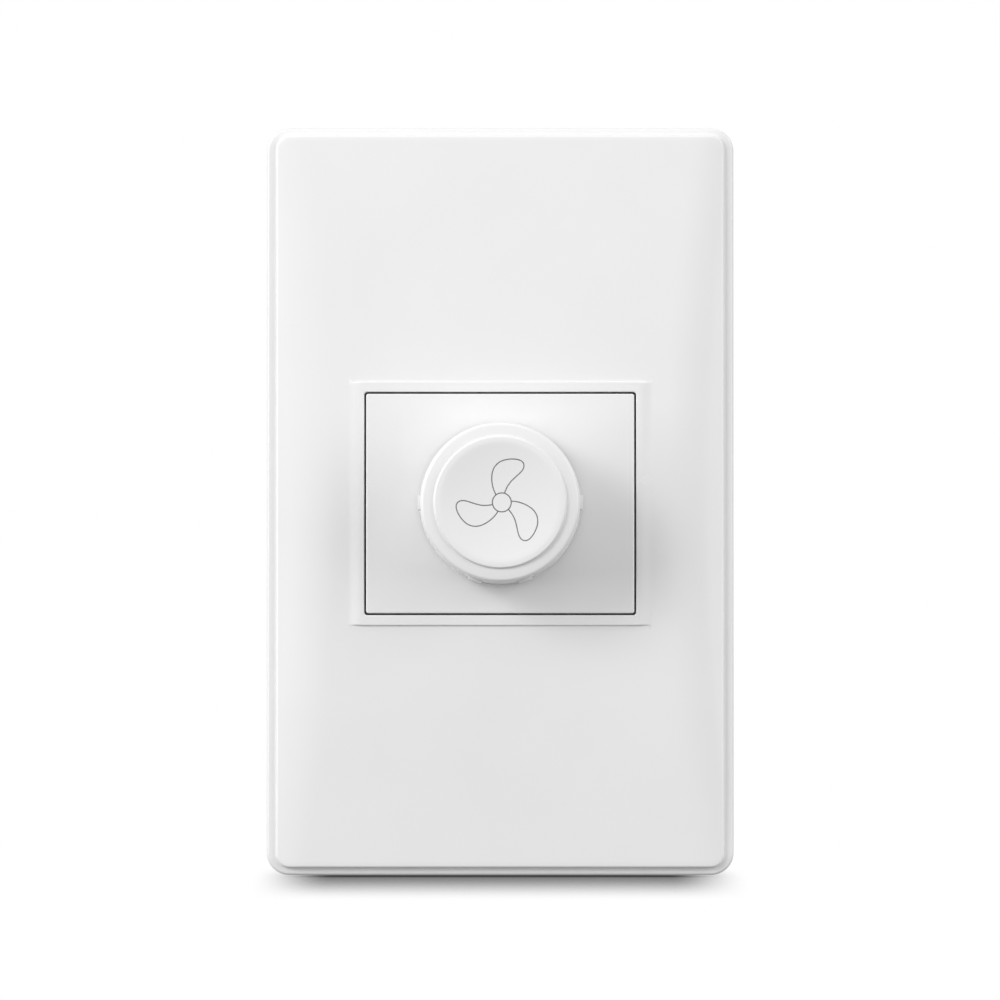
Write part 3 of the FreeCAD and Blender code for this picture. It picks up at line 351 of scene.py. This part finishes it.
def moulded_plastic(name, colour, shade, roughness, grain_mm, bump_mm):
    """A moulded plastic: two close shades that drift, a roughness that drifts, and the tool's fine grain."""
    material, tree, shader = start_material(name)
    place = add(tree, "TexCoord", {}, {}).outputs["Object"]
    flow = add(tree, "TexNoise", {}, {"Vector": place, "Scale": per_metre(flow_mm), "Detail": 2.0})
    tint = two_shades(tree, flow.outputs["Fac"], shade, colour, shade_end=0.3, colour_start=0.7)
    spread = {"To Min": roughness - flow_gloss, "To Max": roughness + flow_gloss}
    gloss = add(tree, "MapRange", {}, {"Value": flow.outputs["Fac"], **spread})
    grain = add(tree, "TexNoise", {}, {"Vector": place, "Scale": per_metre(grain_mm), "Detail": 3.0})
    relief = {"Distance": bump_mm * mm, "Strength": 1.0}
    bump = add(tree, "Bump", {}, {"Height": grain.outputs["Fac"], **relief})
    tree.links.new(tint, shader.inputs["Base Color"])
    tree.links.new(gloss.outputs["Result"], shader.inputs["Roughness"])
    tree.links.new(bump.outputs["Normal"], shader.inputs["Normal"])
    shader.inputs["IOR"].default_value = plastic_ior
    return material


# White ABS with a polished face: a neutral white with a soft sheen, and flow marks too faint to see as a
# pattern.
white_abs = moulded_plastic("white_abs_polished", "#f1f1f1", "#efefef", roughness=0.26, grain_mm=0.5,
                            bump_mm=0.0012)
cover.data.materials.append(white_abs)
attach(cover, "fixed_part")
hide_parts("cover_plate")

# Module front: a shallow moulded box in the same white ABS, flush with the band. Its edges are just broken,
# it has a hole for the bush of the control, two screw posts and two pins that hold the circuit board off its
# back.
fascia_low, fascia_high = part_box("module_fascia")
fascia_x = fascia_high.x
fascia_z = fascia_high.z
fascia_front = fascia_low.y
fascia_corner = 0.35 * mm
fascia_round = 0.2 * mm
fascia_back = -3.0 * mm
fascia_wall = 1.6 * mm
fascia_skirt = 1.3 * mm
cell_corner = 0.1 * mm
bush_hole = 3.65 * mm
post_x = 15.6 * mm
post_z = 11.7 * mm
post_r = 2.5 * mm
post_back = -2.0 * mm
pin_r = 2.0 * mm
pin_back = 8.0 * mm
post_root = 0.5 * mm
bar_segments = 32


def hole_ring(spots, radius, depth):
    """The places of a round hole, each in line with its spot on a square about the same centre."""
    apart = 0.001
    places = []
    for u, v, to_x, to_z in spots:
        angle = math.atan2(v + apart * to_z, u + apart * to_x)
        places.append(Vector((radius * math.cos(angle), depth, radius * math.sin(angle))))
    return places


def round_bar(bm, radius, y0, y1, x, z):
    """A round bar along Y with flat ends."""
    turn = Matrix.Translation((x, (y0 + y1) / 2, z)) @ Matrix.Rotation(math.pi / 2, 4, "X")
    bmesh.ops.create_cone(bm, cap_ends=True, segments=bar_segments, radius1=radius, radius2=radius,
                          depth=y1 - y0, matrix=turn)


fascia_spots = spots_around(corner_steps=6, x_steps=24, z_steps=24)
fascia_mesh = bmesh.new()
fascia_back_ring = ring(fascia_spots, fascia_x, fascia_z, fascia_corner, fascia_back)
loop = start_loop(fascia_mesh, fascia_back_ring)
side_ring = ring(fascia_spots, fascia_x, fascia_z, fascia_corner, fascia_front + fascia_round + support)
loop = draw_out(fascia_mesh, loop, side_ring)
for sine, cosine in arc_steps(count=5):
    inset = fascia_round * (1 - cosine)
    depth = fascia_front + fascia_round * (1 - sine)
    edge = ring(fascia_spots, fascia_x - inset, fascia_z - inset, fascia_corner - inset, depth)
    loop = draw_out(fascia_mesh, loop, edge)
inset = fascia_round + 2 * support
corner = fascia_corner - fascia_round
flat_ring = ring(fascia_spots, fascia_x - inset, fascia_z - inset, corner, fascia_front)
loop = draw_out(fascia_mesh, loop, flat_ring)
cell_front = fascia_front + fascia_wall
loop = draw_out(fascia_mesh, loop, hole_ring(fascia_spots, bush_hole + support, fascia_front))
for depth in (fascia_front, cell_front):
    loop = draw_out(fascia_mesh, loop, hole_ring(fascia_spots, bush_hole, depth))
for depth in (cell_front, fascia_back):
    cell = ring(fascia_spots, fascia_x - fascia_skirt, fascia_z - fascia_skirt, cell_corner, depth)
    loop = draw_out(fascia_mesh, loop, cell)
draw_out(fascia_mesh, loop, fascia_back_ring)
for side in (-1, 1):
    round_bar(fascia_mesh, post_r, cell_front - post_root, post_back, side * post_x, side * post_z)
    round_bar(fascia_mesh, pin_r, cell_front - post_root, pin_back, side * post_x, -side * post_z)
fascia = finish_mesh(fascia_mesh, "fascia")
fascia.data.materials.append(white_abs)
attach(fascia, "fixed_part")
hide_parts("module_fascia")

# Knob: a push-on cap in the same white ABS. Its front is a raised round pad with a shallow dish. The ring
# round the pad falls off a little, and four low lugs stand on the side. Behind, a socket on four ribs takes
# the shaft.
knob_low, knob_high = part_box("knob")
knob_back = knob_high.y
knob_front = knob_low.y
knob_r = 12.9 * mm
knob_draft = 0.2 * mm
knob_round = 0.7 * mm
knob_steps = 720
ring_tilt = math.radians(8.4)
ring_front = knob_front + 0.5 * mm
pad_r = 10.5 * mm
pad_foot_round = 0.2 * mm
pad_edge_round = 0.25 * mm
flat_run = 0.05 * mm
dish_r = 9.6 * mm
dish_depth = 0.7 * mm
dish_sphere = (dish_r ** 2 + dish_depth ** 2) / (2 * dish_depth)
dish_rings = 16
side_start = 0.5 * mm
side_step = 0.01 * mm
skirt_inner_r = knob_r - 1.5 * mm
skirt_bevel_r = 0.1 * mm
skirt_bevel_y = 0.12 * mm
cavity_front = knob_front + 2.4 * mm
socket_r = 4.6 * mm
socket_back = -12.3 * mm
bore_r = 3.03 * mm
bore_flat = 1.63 * mm
lug_turns = (0, 72, 108, 180)
lug_rise = 0.25 * mm
lug_root = 0.6 * mm
lug_half_width = 1.12 * mm
lug_front = knob_back - 10.5 * mm
lug_round = 0.08 * mm
spoke_turns = (45, 135, 225, 315)
spoke_half = 0.5 * mm
spoke_root = 0.5 * mm
spoke_depth = 3 * mm


def dish_y(radius):
    """Y of the shallow dish in the front of the knob."""
    return knob_front + dish_depth - (dish_sphere - math.sqrt(dish_sphere ** 2 - radius ** 2))


def arc_points(centre_r, centre_y, radius, start, end, steps):
    """Points of an arc in the knob's profile, as radius and Y. An angle of zero points away from the axis."""
    angles = [between(start, end, i / steps) for i in range(steps + 1)]
    return [(centre_r + radius * math.cos(a), centre_y - radius * math.sin(a)) for a in angles]


quarter = math.pi / 2
side_r = knob_r - knob_draft
profile = [(dish_r * i / dish_rings, dish_y(dish_r * i / dish_rings)) for i in range(dish_rings + 1)]
profile += [(dish_r + flat_run, knob_front)]
profile += arc_points(pad_r - pad_edge_round, knob_front + pad_edge_round, pad_edge_round,
                      quarter, 0, steps=5)
profile += arc_points(pad_r + pad_foot_round, ring_front - pad_foot_round, pad_foot_round,
                      2 * quarter, 3 * quarter, steps=4)
cone_start_r = pad_r + pad_foot_round + flat_run
cone_end_r = side_r - knob_round * (1 - math.sin(ring_tilt))
cone_drop = (cone_end_r - cone_start_r) * math.tan(ring_tilt)
round_y = ring_front + cone_drop + knob_round * math.cos(ring_tilt)
profile += [(cone_start_r, ring_front)]
profile += arc_points(side_r - knob_round, round_y, knob_round, quarter - ring_tilt, 0, steps=10)
profile += [(side_r + side_step, round_y + side_start)]
profile += [(knob_r, knob_back - skirt_bevel_y), (knob_r - skirt_bevel_r, knob_back)]
profile += [(skirt_inner_r, knob_back), (skirt_inner_r, cavity_front), (socket_r, cavity_front)]
profile += [(socket_r, socket_back), (bore_r, socket_back), (bore_r, cavity_front), (0, cavity_front)]
knob_mesh = bmesh.new()
points = [knob_mesh.verts.new((r, y, 0)) for r, y in profile]
outline = [knob_mesh.edges.new(pair) for pair in zip(points, points[1:])]
bmesh.ops.spin(knob_mesh, geom=points + outline, cent=(0, 0, 0), axis=(0, 1, 0), angle=2 * math.pi,
               steps=knob_steps, use_merge=True)
bmesh.ops.remove_doubles(knob_mesh, verts=knob_mesh.verts, dist=weld)
for vertex in knob_mesh.verts:
    radius = math.hypot(vertex.co.x, vertex.co.z)
    if abs(radius - bore_r) < weld and vertex.co.y > cavity_front - weld:
        vertex.co.z = min(vertex.co.z, bore_flat)
for turn_deg in lug_turns:
    corners = block(knob_mesh, (knob_r - lug_root, lug_front, -lug_half_width),
                    (knob_r + lug_rise, knob_back, lug_half_width))
    edges = {edge for corner in corners for edge in corner.link_edges}
    lug = bmesh.ops.bevel(knob_mesh, geom=list(edges), offset=lug_round, segments=2, profile=0.5,
                          affect="EDGES")
    turn = Matrix.Rotation(math.radians(turn_deg), 4, "Y")
    bmesh.ops.transform(knob_mesh, matrix=turn, verts=lug["verts"])
for turn_deg in spoke_turns:
    spoke = block(knob_mesh, (socket_r - spoke_root, cavity_front - spoke_root, -spoke_half),
                  (skirt_inner_r + spoke_root, cavity_front + spoke_depth, spoke_half))
    turn = Matrix.Rotation(math.radians(turn_deg), 4, "Y")
    bmesh.ops.transform(knob_mesh, matrix=turn, verts=spoke)
knob = finish_mesh(knob_mesh, "knob_cap")
knob.data.materials.append(white_abs)
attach(knob, "knob_and_shaft")
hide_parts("knob")

# Fan mark: a plain three-bladed fan, pad printed in grey ink on the dish. The ink lines are 0.19 mm wide.
# They are round lines pressed almost flat onto the dish.
line_half = 0.095 * mm
ink_lift = 0.012 * mm
mark_x = 0.25 * mm
mark_z = -0.05 * mm
hub_r_mm = 1.518
hub_points = 24
blade_line_mm = [(-0.90, 1.2), (-1.22, 1.75), (-1.53, 2.7), (-1.65, 4.1), (-1.4, 5.4), (-0.5, 6.45),
                 (0.8, 6.88), (2.3, 6.94), (3.5, 6.5), (3.62, 5.4), (2.7, 4.45), (1.5, 3.45), (0.8, 2.5),
                 (0.43, 1.45)]


def ink_line(curve, points, closed):
    """Adds one line of the mark to a curve, in millimetres from the middle of the hub."""
    spline = curve.splines.new("NURBS")
    spline.points.add(len(points) - 1)
    for point, (x, z) in zip(spline.points, points):
        point.co = (x * mm, 0, z * mm, 1)
    spline.use_cyclic_u = closed
    spline.use_endpoint_u = not closed
    spline.order_u = 4
    spline.resolution_u = 8


mark_curve = bpy.data.curves.new("fan_mark_lines", "CURVE")
mark_curve.dimensions = "3D"
mark_curve.bevel_depth = line_half
mark_curve.bevel_resolution = 2
hub_angles = [2 * math.pi * i / hub_points for i in range(hub_points)]
ink_line(mark_curve, [(hub_r_mm * math.cos(a), hub_r_mm * math.sin(a)) for a in hub_angles], closed=True)
for blade in range(3):
    turn = Matrix.Rotation(-2 * math.pi / 3 * blade, 2)
    ink_line(mark_curve, [tuple(turn @ Vector(point)) for point in blade_line_mm], closed=False)
mark_lines = bpy.data.objects.new("fan_mark_lines", mark_curve)
bpy.context.scene.collection.objects.link(mark_lines)
mark_data = bpy.data.meshes.new_from_object(mark_lines.evaluated_get(bpy.context.evaluated_depsgraph_get()))
bpy.data.objects.remove(mark_lines)
mark = bpy.data.objects.new("fan_mark", mark_data)
bpy.context.scene.collection.objects.link(mark)
for vertex in mark_data.vertices:
    height = vertex.co.y / line_half
    vertex.co.x += mark_x
    vertex.co.z += mark_z
    vertex.co.y = dish_y(math.hypot(vertex.co.x, vertex.co.z)) + height * ink_lift
# Matt grey ink: thinner and paler here and there, as pad printing lays it down.
ink, ink_tree, ink_shader = start_material("grey_pad_print")
ink_place = add(ink_tree, "TexCoord", {}, {}).outputs["Object"]
ink_cover = add(ink_tree, "TexNoise", {}, {"Vector": ink_place, "Scale": per_metre(1.2), "Detail": 2.0})
ink_tint = two_shades(ink_tree, ink_cover.outputs["Fac"], "#6f6f6f", "#828282")
ink_tree.links.new(ink_tint, ink_shader.inputs["Base Color"])
ink_shader.inputs["Roughness"].default_value = 0.55
mark_data.materials.clear()
mark_data.materials.append(ink)
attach(mark, "knob_and_shaft")

# Mounting frame: one moulding in white glass-filled ABS, satin. It is screwed to the wall box through its two
# slots, and the claws of the cover snap into it.


def dress(names, material):
    """Gives CAD pieces their finish."""
    for name in names:
        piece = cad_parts[name]
        if not piece.material_slots:
            piece.data.materials.append(material)
        for slot in piece.material_slots:
            slot.material = material


frame_abs = moulded_plastic("frame_abs_satin", "#e9e9e6", "#e4e4e1", roughness=0.5, grain_mm=0.35,
                            bump_mm=0.006)
dress(["mounting_frame"], frame_abs)

# Rear housing and the closed switch: a flame-retardant polycarbonate, pale grey with a spark-eroded grain.
# Two long screws hold the housing to the back of the fascia, and its tongues snap into the frame.
housing_pc = moulded_plastic("housing_polycarbonate", "#d4d5d6", "#cccdce", roughness=0.55, grain_mm=0.3,
                             bump_mm=0.012)
dress(["rear_housing", "snap_switch"], housing_pc)

# Steel pieces: bright zinc plate, a bluish grey with faint clouding. The screws are cold headed, and the can,
# the washer, the clip and the ring are pressed or bent.
polish_gloss = 0.08
polish_relief = 0.01 * mm


def plated_metal(name, colour, shade, roughness, cloud_mm):
    """A plated or bare metal: its shade, its gloss and a faint relief drift together."""
    material, tree, shader = start_material(name)
    place = add(tree, "TexCoord", {}, {}).outputs["Object"]
    cloud = add(tree, "TexNoise", {}, {"Vector": place, "Scale": per_metre(cloud_mm), "Detail": 4.0})
    tint = two_shades(tree, cloud.outputs["Fac"], shade, colour)
    spread = {"To Min": roughness - polish_gloss, "To Max": roughness + polish_gloss}
    gloss = add(tree, "MapRange", {}, {"Value": cloud.outputs["Fac"], **spread})
    relief = {"Distance": polish_relief, "Strength": 0.5}
    bump = add(tree, "Bump", {}, {"Height": cloud.outputs["Fac"], **relief})
    tree.links.new(tint, shader.inputs["Base Color"])
    tree.links.new(gloss.outputs["Result"], shader.inputs["Roughness"])
    tree.links.new(bump.outputs["Normal"], shader.inputs["Normal"])
    shader.inputs["Metallic"].default_value = 1.0
    return material


zinc_plate = plated_metal("steel_zinc_plated", "#c9ccd0", "#b4b8bd", roughness=0.32, cloud_mm=1.5)
dress(["housing_screws", "pot_case", "bush_washer", "knob_spring_clip", "shaft_retaining_ring"], zinc_plate)
dress(["triac_screw", "triac_nut", "terminal_screws"], zinc_plate)

# Brass pieces: the nut on the bush is turned and nickel plated, and the clamps of the terminals are cut from
# bare drawn bar.
nickel_plate = plated_metal("brass_nickel_plated", "#d3cdbd", "#c0b9a8", roughness=0.28, cloud_mm=1.0)
dress(["bush_nut"], nickel_plate)
bare_brass = plated_metal("brass_drawn", "#d9b66a", "#c29a50", roughness=0.35, cloud_mm=0.8)
dress(["terminal_clamps"], bare_brass)

# Bush, shaft and heat sink: die-cast zinc, and aluminium that was turned or bent. The contacts of the
# control are tinned copper alloy.
die_cast = plated_metal("zinc_die_cast", "#b9babb", "#a3a4a6", roughness=0.45, cloud_mm=0.6)
dress(["pot_bush"], die_cast)
turned_alloy = plated_metal("aluminium_turned", "#d6d7d9", "#c6c7c9", roughness=0.3, cloud_mm=0.4)
dress(["control_shaft", "heat_sink"], turned_alloy)
tinned = plated_metal("tinned_copper", "#d2d2ce", "#bcbcb6", roughness=0.3, cloud_mm=0.5)
dress(["pot_terminals", "pot_wiper"], tinned)

# Board, moulded pieces and coated components inside the housing. Each row gives the material, its colour and
# shade, its roughness, the size of its grain and the height of its bumps in millimetres, and the pieces.
small_pieces = [
    ("board_paper_phenolic", "#a9804c", "#96703f", 0.45, 0.4, 0.004, ["control_board", "pot_wafer"]),
    ("rotor_nylon", "#3a3b3d", "#303133", 0.5, 0.3, 0.004, ["pot_rotor"]),
    ("triac_epoxy", "#26272a", "#1e1f21", 0.5, 0.25, 0.006, ["triac", "thermal_fuse"]),
    ("choke_ferrite", "#4a4b4d", "#3b3c3e", 0.6, 0.3, 0.01, ["choke_core"]),
    ("capacitor_case", "#e3c443", "#d9b93a", 0.35, 0.4, 0.003, ["suppression_capacitor"]),
    ("timing_capacitor_dip", "#b4472f", "#a53d28", 0.3, 0.5, 0.004, ["timing_capacitor"]),
    ("resistor_lacquer", "#c9b28a", "#bda57c", 0.35, 0.5, 0.004, ["fixed_resistors"]),
    ("diac_glass", "#5b6f9c", "#4d618d", 0.12, 0.6, 0.001, ["trigger_diac"]),
    ("absorber_epoxy", "#31629c", "#2a568b", 0.3, 0.6, 0.004, ["surge_absorber"]),
    ("terminal_block_nylon", "#e4e4df", "#dbdbd6", 0.5, 0.3, 0.005, ["terminal_block"]),
]
for name, colour, shade, roughness, grain_mm, bump_mm, names in small_pieces:
    dress(names, moulded_plastic(name, colour, shade, roughness, grain_mm, bump_mm))

# Choke winding: enamelled copper wire, laid in 0.4 mm turns. A wave of the texture repeats every 2 pi / 20
# units, and the scale makes that one turn of the wire.
turn_mm = 0.4
wave_length = 2 * math.pi / 20
turn_scale = wave_length * per_metre(turn_mm)
copper, copper_tree, copper_shader = start_material("enamelled_copper")
copper_place = add(copper_tree, "TexCoord", {}, {}).outputs["Object"]
turns = add(copper_tree, "TexWave", {"bands_direction": "Y"}, {"Vector": copper_place, "Scale": turn_scale})
# The same wave paints each turn darker in its groove and lighter on its crest: painted shade and painted
# highlight on top of the bump.
painted_turn_shade = two_shades(copper_tree, turns.outputs["Fac"], "#5e2412", "#b5562c")
copper_bump = add(copper_tree, "Bump", {},
                  {"Height": turns.outputs["Fac"], "Distance": turn_mm / 4 * mm, "Strength": 0.8})
copper_tree.links.new(painted_turn_shade, copper_shader.inputs["Base Color"])
copper_tree.links.new(copper_bump.outputs["Normal"], copper_shader.inputs["Normal"])
copper_shader.inputs["Roughness"].default_value = 0.3
copper_shader.inputs["Metallic"].default_value = 0.8
dress(["choke_winding"], copper)

# Floor: plain, level behind the switch and falling gently away in front of it. Its grey is a painted shadow:
# it is grey under the foot of the switch and fades into the white room a few centimetres away, so that the
# switch stands on white with only this painted shadow beneath it.
floor_z = cad_low.z
floor_half = 0.16
floor_front = -0.24
floor_back = 0.07
floor_fall = math.tan(math.radians(3))
side_fade_start = 27 * mm
side_fade_end = 40 * mm
foot_fade_start = 3 * mm
foot_fade_end = 55 * mm
floor_mesh = bmesh.new()
bmesh.ops.create_grid(floor_mesh, x_segments=1, y_segments=8, size=1)
for vertex in floor_mesh.verts:
    y = between(floor_front, floor_back, (vertex.co.y + 1) / 2)
    vertex.co = (vertex.co.x * floor_half, y, floor_z + min(0, y) * floor_fall)
floor = finish_mesh(floor_mesh, "floor", smooth=False)
floor_painted_shadow, floor_tree, floor_shader = start_material("floor_painted_shadow")
# Mid grey: the painted shadow under the foot of the switch.
floor_shader.inputs["Base Color"].default_value = linear("#7a7a7a")
floor_shader.inputs["Roughness"].default_value = 0.8
floor_shader.inputs["Specular IOR Level"].default_value = 0.0
floor_place = add(floor_tree, "TexCoord", {}, {}).outputs["Object"]
floor_axes = add(floor_tree, "SeparateXYZ", {}, {"Vector": floor_place}).outputs


def fade_out(tree, axis, start, end):
    """A share that falls softly from one to nothing with the distance along an axis."""
    away = add(tree, "Math", {"operation": "ABSOLUTE"}, {0: axis}).outputs[0]
    limits = {"From Min": start, "From Max": end, "To Min": 1.0, "To Max": 0.0}
    return add(tree, "MapRange", {"interpolation_type": "SMOOTHSTEP"}, {"Value": away, **limits}).outputs[0]


side_fade = fade_out(floor_tree, floor_axes["X"], side_fade_start, side_fade_end)
foot_fade = fade_out(floor_tree, floor_axes["Y"], foot_fade_start, foot_fade_end)
# near is the share of the painted shadow: full at the foot, fading to clear sideways and forwards.
near = add(floor_tree, "Math", {"operation": "MULTIPLY"}, {0: side_fade, 1: foot_fade}).outputs[0]
clear = add(floor_tree, "BsdfTransparent", {}, {}).outputs[0]
floor_mix = add(floor_tree, "MixShader", {}, {0: near, 1: clear, 2: floor_shader.outputs[0]})
floor_tree.links.new(floor_mix.outputs[0], floor_tree.nodes["Material Output"].inputs["Surface"])
floor.data.materials.append(floor_painted_shadow)
floor.visible_diffuse = False
floor.visible_glossy = False
floor.visible_shadow = False

# Light: soft boxes round a white room. The room shows white behind the object and lights it less than it
# shows, and less from below than from above.
fill_below = 0.24
fill_above = 0.64
fill_change = 0.4
paper_white = (1, 1, 1, 1)
scene = bpy.context.scene
scene.view_settings.view_transform = "Standard"
world = bpy.data.worlds.new("white_room")
scene.world = world
world.use_nodes = True
room = world.node_tree
room.nodes.clear()
seen = add(room, "LightPath", {}, {}).outputs["Is Camera Ray"]
room_place = add(room, "TexCoord", {}, {}).outputs["Generated"]
height = add(room, "SeparateXYZ", {}, {"Vector": room_place}).outputs["Z"]
limits = {"From Min": -fill_change, "From Max": fill_change, "To Min": fill_below, "To Max": fill_above}
strength = add(room, "MapRange", {"interpolation_type": "SMOOTHSTEP"}, {"Value": height, **limits}).outputs[0]
fill = add(room, "Background", {}, {"Color": paper_white, "Strength": strength}).outputs[0]
white = add(room, "Background", {}, {"Color": paper_white, "Strength": 1.0}).outputs[0]
both = add(room, "MixShader", {}, {0: seen, 1: fill, 2: white}).outputs[0]
add(room, "OutputWorld", {}, {"Surface": both})


def soft_box(name, place, width, height, watts):
    """A rectangular soft box that faces the module."""
    light = bpy.data.lights.new(name, "AREA")
    light.shape = "RECTANGLE"
    light.size = width
    light.size_y = height
    light.energy = watts
    lamp = bpy.data.objects.new(name, light)
    lamp.location = place
    lamp.rotation_euler = (-Vector(place)).to_track_quat("-Z", "Y").to_euler()
    scene.collection.objects.link(lamp)


soft_box("key", (-0.9, -0.8, 0.5), width=0.4, height=0.4, watts=5.4)
soft_box("high_left", (-0.8, -0.8, 0.8), width=0.25, height=0.25, watts=1.0)
soft_box("left_side", (-1.3, -0.5, 0.1), width=0.6, height=0.6, watts=6.1)
soft_box("right_side", (1.25, -0.75, 0.3), width=0.9, height=1.2, watts=8.4)
soft_box("overhead", (0.2, -0.3, 1.1), width=0.5, height=0.5, watts=0.9)

# Camera: square on, looking up by one degree from a little below the middle of the plate, as far off as a
# studio lens stands. Its lens and its aim put the plate where the photograph has it.
view_distance = 1.5
view_elevation = math.radians(-1.0)
image_size = 1000
pixels_per_mm = 6.223
plate_centre_px = (500.2, 501.35)
camera_data = bpy.data.cameras.new("camera")
camera_data.sensor_width = 36
view_width = image_size / pixels_per_mm * mm
camera_data.lens = camera_data.sensor_width * view_distance / view_width
camera_data.clip_start = 0.05
camera_data.clip_end = 20
camera = bpy.data.objects.new("camera", camera_data)
aim_x = (image_size / 2 - plate_centre_px[0]) / pixels_per_mm * mm
aim_z = plate_middle + (plate_centre_px[1] - image_size / 2) / pixels_per_mm * mm
aim = Vector((aim_x, rim_front, aim_z))
back = Vector((0, -math.cos(view_elevation), math.sin(view_elevation)))
camera.location = aim + back * view_distance
camera.rotation_euler = (-back).to_track_quat("-Z", "Y").to_euler()
scene.collection.objects.link(camera)
scene.camera = camera
